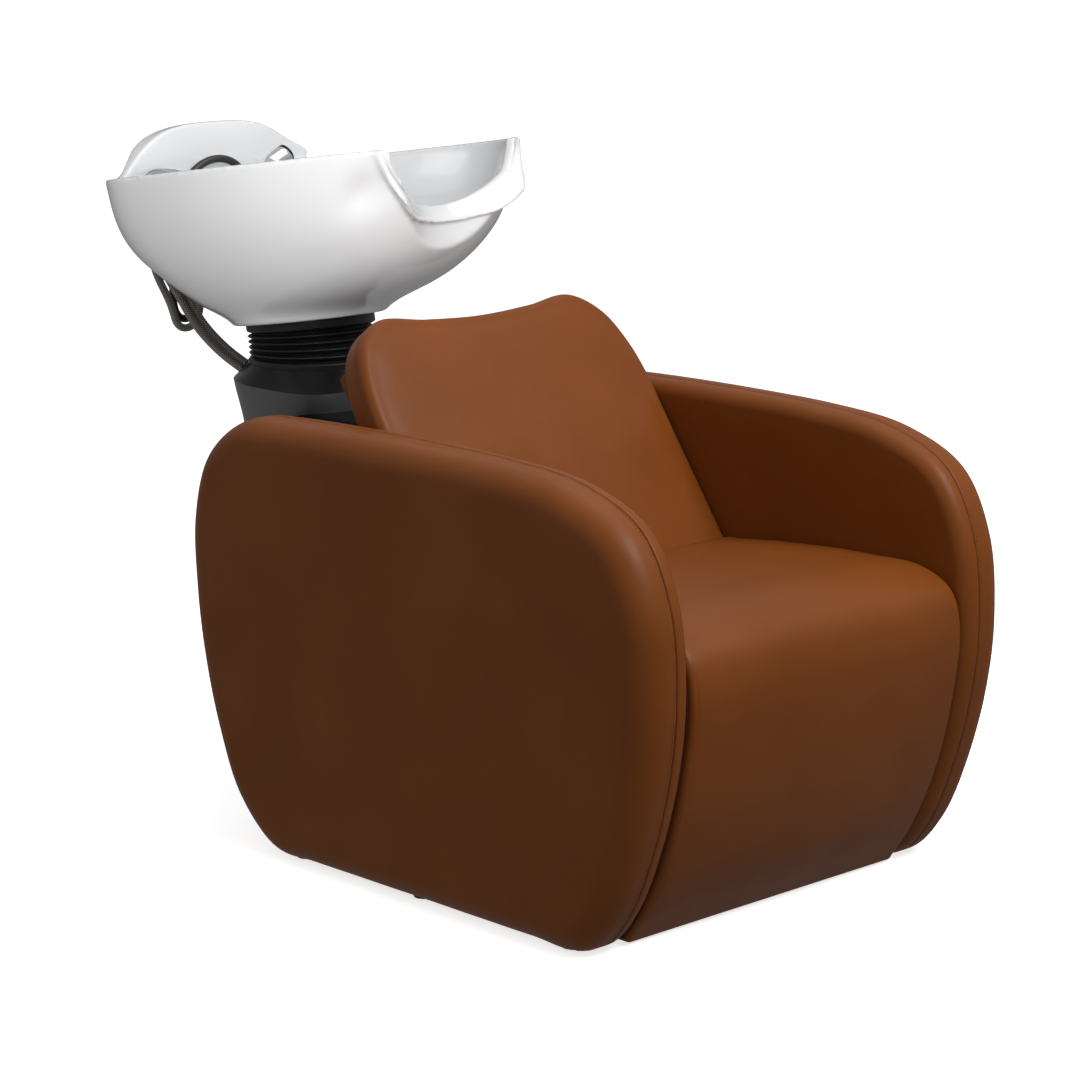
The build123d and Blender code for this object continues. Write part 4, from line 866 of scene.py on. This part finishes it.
# ---------------------------------------------------------------- basin
NOTCH_HALF = 112.0
NOTCH_DEPTH = 80.0
SCOOP_R = 134.0
SCOOP_V = -434.0
# the hull's section: its value at the deck's height, and what it gains up to the rim
HULL_HALF = (233, 17)
HULL_REACH = (327, 11)
HULL_CENTRE = (-26, -14)
HULL_POWER = (2.07, -0.07)
LIP_SIDES = 24
LIP_END_SHARE = 0.16
LIP_REACH = 16
LIP_REACH_MORE = 18
LIP_SIDE_REACH = 5
LIP_SIDE_U = 92
LIP_SIDE_WIDTH = 22.0
LIP_ROOT = 12
LIP_ROOT_MORE = 4
LIP_THICK = 5.5
LIP_THICK_MORE = 1.5
LIP_SINK = 3
LIP_DROOP = 20
DIMPLE_DEPTH = 13.0
DIMPLE_U = 136
DIMPLE_W = 226
DIMPLE_WIDE = 20.0
DIMPLE_TALL = 28.0
DIMPLE_REAR_V = -240
DIMPLE_FADE = 10.0
DIMPLE_INWARD = 0.5
DIMPLE_BACKWARD = 0.85
GLAZE_VOXEL = 0.0026
GLAZE_SMOOTHING = 22


def as_arrays(piece):
    """A mesh piece's points and its polygons."""
    points = np.empty(len(piece.data.vertices) * 3)
    piece.data.vertices.foreach_get("co", points)
    return points.reshape(-1, 3), [tuple(face.vertices) for face in piece.data.polygons]


def front_v(u, w):
    """The basin's outer front: its v, where the scoop for the neck cuts the hull back."""
    share = (w - DECK_W) / (RIM_W - DECK_W)
    half, reach, centre, power = (start + share * gain
                                  for start, gain in (HULL_HALF, HULL_REACH, HULL_CENTRE, HULL_POWER))
    hull = centre - reach * (1 - abs(u / half) ** power) ** (1 / power)
    return max(hull, SCOOP_V + math.sqrt(max(SCOOP_R ** 2 - u * u, 0)))


def notch_lip():
    """The rolled lip along the neck opening: rings across it. Its ends fade into the rim."""
    knots = np.array([(-NOTCH_HALF - 14, 0), (-NOTCH_HALF + 4, -NOTCH_DEPTH * 0.42),
                      (-NOTCH_HALF * 0.70, -NOTCH_DEPTH * 0.88), (-NOTCH_HALF * 0.36, -NOTCH_DEPTH),
                      (NOTCH_HALF * 0.36, -NOTCH_DEPTH), (NOTCH_HALF * 0.70, -NOTCH_DEPTH * 0.88),
                      (NOTCH_HALF - 4, -NOTCH_DEPTH * 0.42), (NOTCH_HALF + 14, 0)], float)
    line = evenly(catmull(knots, 16, False), 90, False)
    rings = []
    for i, (u, drop) in enumerate(line):
        w = RIM_W + drop
        share = i / (len(line) - 1)
        fade = min(1.0, share / LIP_END_SHARE, (1 - share) / LIP_END_SHARE)
        fade = fade * fade * (3 - 2 * fade)
        run = line[min(i + 1, len(line) - 1)] - line[max(i - 1, 0)]
        run = run / np.linalg.norm(run)
        rise = np.array((-run[1], run[0]))
        if rise[1] < 0:
            rise = -rise
        side = math.exp(-((abs(u) - LIP_SIDE_U) / LIP_SIDE_WIDTH) ** 2)
        flange = LIP_REACH + LIP_REACH_MORE * fade + LIP_SIDE_REACH * side
        thick = LIP_THICK + LIP_THICK_MORE * fade
        ring = []
        for k in range(LIP_SIDES):
            turn = 2 * math.pi * k / LIP_SIDES
            spread = (math.cos(turn) + 1) / 2
            out = spread * flange - LIP_ROOT - LIP_ROOT_MORE * fade
            lift = math.sin(turn) * thick - LIP_SINK - LIP_DROOP * fade * spread * spread
            at_u = u + rise[0] * lift
            at_w = w + rise[1] * lift
            ring.append(tilted(at_u, front_v(u, w) - out, at_w))
        rings.append(ring)
    return rings_to_mesh(rings)


def dimple_beside_lip(mesh):
    """The soft hollow in the bowl's outside beside each end of the lip."""
    places = np.empty(len(mesh.vertices) * 3)
    mesh.vertices.foreach_get("co", places)
    places = places.reshape(-1, 3)
    off_y = places[:, 1] / MM - PIVOT.y
    off_z = places[:, 2] / MM - PIVOT.z
    u = np.abs(places[:, 0] / MM)
    v = off_y * math.cos(REST_TILT) - off_z * math.sin(REST_TILT)
    w = off_y * math.sin(REST_TILT) + off_z * math.cos(REST_TILT)
    depth = DIMPLE_DEPTH * np.exp(-((u - DIMPLE_U) / DIMPLE_WIDE) ** 2 - ((w - DIMPLE_W) / DIMPLE_TALL) ** 2)
    depth *= 1 / (1 + np.exp((v - DIMPLE_REAR_V) / DIMPLE_FADE))
    places[:, 0] -= np.sign(places[:, 0]) * depth * DIMPLE_INWARD * MM
    places[:, 1] += depth * DIMPLE_BACKWARD * math.cos(REST_TILT) * MM
    places[:, 2] -= depth * DIMPLE_BACKWARD * math.sin(REST_TILT) * MM
    mesh.vertices.foreach_set("co", places.ravel())


def glazed_basin():
    """The basin's body with its lip, melted together and smoothed as glaze does."""
    points, polygons = as_arrays(NODES["basin"])
    lip_points, lip_faces = notch_lip()
    offset = len(points)
    vertices = [tuple(p) for p in points] + [tuple(p) for p in lip_points]
    faces = polygons + [tuple(i + offset for i in face) for face in lip_faces]
    piece = new_object("basin_glaze", vertices, faces, "white_ceramic")
    remesh = piece.modifiers.new("melt", "REMESH")
    remesh.mode = "VOXEL"
    remesh.voxel_size = GLAZE_VOXEL
    remesh.use_smooth_shade = True
    smooth = piece.modifiers.new("glaze", "SMOOTH")
    smooth.factor = 0.5
    smooth.iterations = GLAZE_SMOOTHING
    bpy.context.view_layer.update()
    evaluated = piece.evaluated_get(bpy.context.evaluated_depsgraph_get())
    shaped = bpy.data.meshes.new_from_object(evaluated)
    piece.modifiers.clear()
    piece.data = shaped
    dimple_beside_lip(shaped)
    shaped.materials.clear()
    shaped.materials.append(MATERIALS["white_ceramic"])
    shaped.polygons.foreach_set("use_smooth", [True] * len(shaped.polygons))
    return piece


basin = glazed_basin()
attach(basin, "basin_unit")
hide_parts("basin")

# ---------------------------------------------------------------- bellows
BELLOWS_LOW_W = -4.0
BELLOWS_HIGH_W = 56.0
BELLOWS_STEPS = 110
BELLOWS_SIDES = 96
BELLOWS_FOLDS = 5
BELLOWS_VALLEY_R = 84.0
BELLOWS_FOLD_DEPTH = 7.6
BELLOWS_CUFF_R = 91.6
BELLOWS_WALL = 2.0
BELLOWS_CUFF_SHARE = 0.10
BELLOWS_FOLDED_SHARE = 0.74
BELLOWS_UNEVEN = 0.35


def bellows_rings():
    """Rounded rubber folds between two plain cuffs; the rings turn in step with the tilt."""
    rings = []
    profile = []
    for i in range(BELLOWS_STEPS + 1):
        share = i / BELLOWS_STEPS
        within = min(max((share - BELLOWS_CUFF_SHARE) / BELLOWS_FOLDED_SHARE, 0), 1)
        wave = 0.5 + 0.5 * math.cos(2 * math.pi * BELLOWS_FOLDS * within)
        radius = BELLOWS_CUFF_R
        if 0 < within < 1:
            radius = BELLOWS_VALLEY_R + BELLOWS_FOLD_DEPTH * wave ** 0.7
        profile.append((radius, share))
    profile += [(radius - BELLOWS_WALL, share) for radius, share in reversed(profile)]
    for radius, share in profile:
        w = BELLOWS_LOW_W + share * (BELLOWS_HIGH_W - BELLOWS_LOW_W)
        lean = REST_TILT * share
        ring = []
        for k in range(BELLOWS_SIDES):
            turn = 2 * math.pi * k / BELLOWS_SIDES
            uneven = BELLOWS_UNEVEN * noise.noise(Vector((math.cos(turn), math.sin(turn), share * 9)))
            u = (radius + uneven) * math.cos(turn)
            v = (radius + uneven) * math.sin(turn)
            y = PIVOT.y + v * math.cos(lean) + w * math.sin(lean)
            z = PIVOT.z - v * math.sin(lean) + w * math.cos(lean)
            ring.append(Vector((u, y, z)) * MM)
        rings.append(ring)
    return rings


bellows_vertices, bellows_faces = rings_to_mesh(bellows_rings(), capped=False)
bellows = new_object("rubber_bellows", bellows_vertices, bellows_faces, "black_rubber")
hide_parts("bellows")
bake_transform(bellows)

# ---------------------------------------------------------------- fittings on the deck
MIXER_HEIGHT = 60
CAP_GAP = 0.3
CAP_LOW = DECK_W + MIXER_HEIGHT + CAP_GAP
LIFT_W = CAP_LOW + 8
LEVER_ROOT = 2
LEVER_LENGTH = 82
# turned profiles, as radius and height
MIXER_PROFILE = [(0.1, 0), (24, 0), (24, 3), (21.5, 5), (21, 8), (20.2, 30), (21, 52), (21, MIXER_HEIGHT),
                 (0.1, MIXER_HEIGHT)]
CAP_PROFILE = [(0.1, 0), (19.8, 0), (21, 1.5), (21, 8), (18.5, 12.5), (12, 15), (0.1, 15.5)]
NIPPLE_PROFILE = [(0.1, 0), (14, 0), (14, 2.5), (12.5, 3.5), (12.5, 9), (10.5, 10.5), (9.2, 11), (9.2, 22),
                  (8.6, 24), (6.2, 24), (0.1, 23.8)]

mixer_foot = tilted(MIXER_U, FITTING_V, DECK_W)
cap_foot = tilted(MIXER_U, FITTING_V, CAP_LOW)
mixer = turned("mixer_chrome_body", MIXER_PROFILE, mixer_foot, UP, "chrome", "basin_unit")
mixer_cap = turned("mixer_chrome_cap", CAP_PROFILE, cap_foot, UP, "chrome", "mixer_cap")

lever_knots = np.array([(2, -1), (-6, 4), (-16, 8.5), (-30, 10.5), (-48, 9.5), (-66, 5), (-80, -0.5)], float)
lever_line = catmull(lever_knots, 6, False)
lever_places = [tilted(MIXER_U, FITTING_V + a, LIFT_W + b) for a, b in lever_line]
lever_sizes = []
for a, b in lever_line:
    share = (LEVER_ROOT - a) / LEVER_LENGTH
    width = 8.5 + 4.0 * math.sin(min(share * 1.5, 1) * math.pi / 2) - 5.0 * max(0, share - 0.85) / 0.15
    height = 5.4 - 3.2 * share
    lever_sizes.append((width * MM, height * MM))
lever = new_object("mixer_chrome_lever", *rings_to_mesh(swept(lever_places, lever_sizes, 40, (1, 0, 0))),
                   "chrome", "mixer_lever")
for piece, node in ((mixer, "mixer_body"), (mixer_cap, "mixer_cap"), (lever, "mixer_lever")):
    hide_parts(node)

nipple = turned("outlet_chrome_nipple", NIPPLE_PROFILE, tilted(NIPPLE_U, FITTING_V, DECK_W), UP, "chrome",
                "basin_unit", 0.6, 48)
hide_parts("outlet_nipple")
HAND_R = 9.0
HAND_SWELL = 10.0
HAND_TIP_NARROWING = 1.6
hand_knots = [(47, 228), (47, 246), (47.5, 258), (51, 266), (58, 272), (68, 277), (80, 282.5), (90, 287)]
hand_line = catmull(np.array(hand_knots, float), 8, False)
hand_places = [tilted(u, FITTING_V, w) for u, w in hand_line]
hand_sizes = []
for i in range(len(hand_line)):
    share = i / (len(hand_line) - 1)
    swell = min(1.0, max(0.0, (share - 0.34) / 0.36))
    swell = swell * swell * (3 - 2 * swell)
    tip = max(0.0, (share - 0.9) / 0.1) ** 2
    hand_sizes.append((HAND_R + HAND_SWELL * swell - HAND_TIP_NARROWING * tip) * MM)
hand_rings = swept(hand_places, hand_sizes, 56)
hand = new_object("hand_shower_chrome", *rings_to_mesh(hand_rings), "chrome", "hand_shower")
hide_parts("hand_shower")

# ---------------------------------------------------------------- floor, wall and light, in metres
FLOOR_CORNERS = [(-40, -40, 0), (40, -40, 0), (40, 60, 0), (-40, 60, 0)]
WALL_R = 38
WALL_SIDES = 48
WALL_LOW = -0.1
WALL_TOP = 60.0


def glowing(name, grey, rough, glow):
    """A plain material that also gives white light of its own."""
    material, _, _, shader = new_material(name)
    shader.inputs["Base Color"].default_value = (grey, grey, grey, 1)
    shader.inputs["Roughness"].default_value = rough
    shader.inputs["Emission Color"].default_value = (1, 1, 1, 1)
    shader.inputs["Emission Strength"].default_value = glow
    return material


def backdrop(name, vertices, faces, material):
    """A surface of the studio that diffuse and glossy rays don't see."""
    piece = bpy.data.objects.new(name, bpy.data.meshes.new(name))
    piece.data.from_pydata(vertices, [], faces)
    piece.data.materials.append(material)
    bpy.context.scene.collection.objects.link(piece)
    piece.visible_diffuse = False
    piece.visible_glossy = False
    return piece


floor = backdrop("floor", FLOOR_CORNERS, [(0, 1, 2, 3)], glowing("pale_floor", 0.93, 0.6, 0.72))

# a far white wall all round, which throws no shadow
wall_turns = [2 * math.pi * k / WALL_SIDES for k in range(WALL_SIDES)]
wall_rings = [[Vector((WALL_R * math.cos(t), WALL_R * math.sin(t), z)) for t in wall_turns]
              for z in (WALL_LOW, WALL_TOP)]
wall = backdrop("white_wall", *rings_to_mesh(wall_rings, capped=False), glowing("wall_white", 0, 1.0, 1.0))
wall.visible_shadow = False

sky = bpy.data.worlds.new("sky")
sky.use_nodes = True
sky_nodes = sky.node_tree.nodes
sky_links = sky.node_tree.links
sky_place = sky_nodes.new("ShaderNodeTexCoord")
sky_split = sky_nodes.new("ShaderNodeSeparateXYZ")
sky_ramp = sky_nodes.new("ShaderNodeValToRGB")
sky_ramp.color_ramp.elements[0].position = 0.02
sky_ramp.color_ramp.elements[0].color = (0.52, 0.52, 0.52, 1)
sky_ramp.color_ramp.elements[1].position = 0.6
sky_ramp.color_ramp.elements[1].color = (1.0, 1.0, 1.0, 1)
sky_links.new(sky_place.outputs["Generated"], sky_split.inputs["Vector"])
sky_links.new(sky_split.outputs["Z"], sky_ramp.inputs["Fac"])
sky_links.new(sky_ramp.outputs["Color"], sky_nodes["Background"].inputs["Color"])
sky_nodes["Background"].inputs["Strength"].default_value = 0.46
bpy.context.scene.world = sky


def soft_light(name, place, target, size, power, colour=(1, 1, 1)):
    """A square soft light aimed at a point."""
    light = bpy.data.lights.new(name, "AREA")
    light.shape = "SQUARE"
    light.size = size
    light.energy = power
    light.color = colour
    lamp = bpy.data.objects.new(name, light)
    lamp.location = place
    lamp.rotation_euler = (Vector(target) - Vector(place)).to_track_quat("-Z", "Y").to_euler()
    bpy.context.scene.collection.objects.link(lamp)
    return lamp


soft_light("overhead", place=(0.4, 0.1, 3.0), target=(0, 0.1, 0.4), size=2.2, power=16)
key_light = soft_light("key", place=(0.35, -2.4, 3.4), target=(0, 0, 0.4), size=1.6, power=100)
soft_light("left_fill", place=(-3.4, 0.6, 1.8), target=(0, 0.2, 0.4), size=2.2, power=4,
           colour=(1.0, 0.95, 0.85))
basin_light = soft_light("basin_light", place=(-2.1, -2.3, 1.5), target=(0, 0.55, 0.8), size=1.4, power=118)

# the basin has a light of its own, and the key light leaves it out
lit_by_basin_light = bpy.data.collections.new("lit_by_basin_light")
lit_by_basin_light.objects.link(basin)
basin_light.light_linking.receiver_collection = lit_by_basin_light
not_lit_by_key = bpy.data.collections.new("not_lit_by_key")
not_lit_by_key.objects.link(basin)
not_lit_by_key.collection_objects[0].light_linking.link_state = "EXCLUDE"
key_light.light_linking.receiver_collection = not_lit_by_key
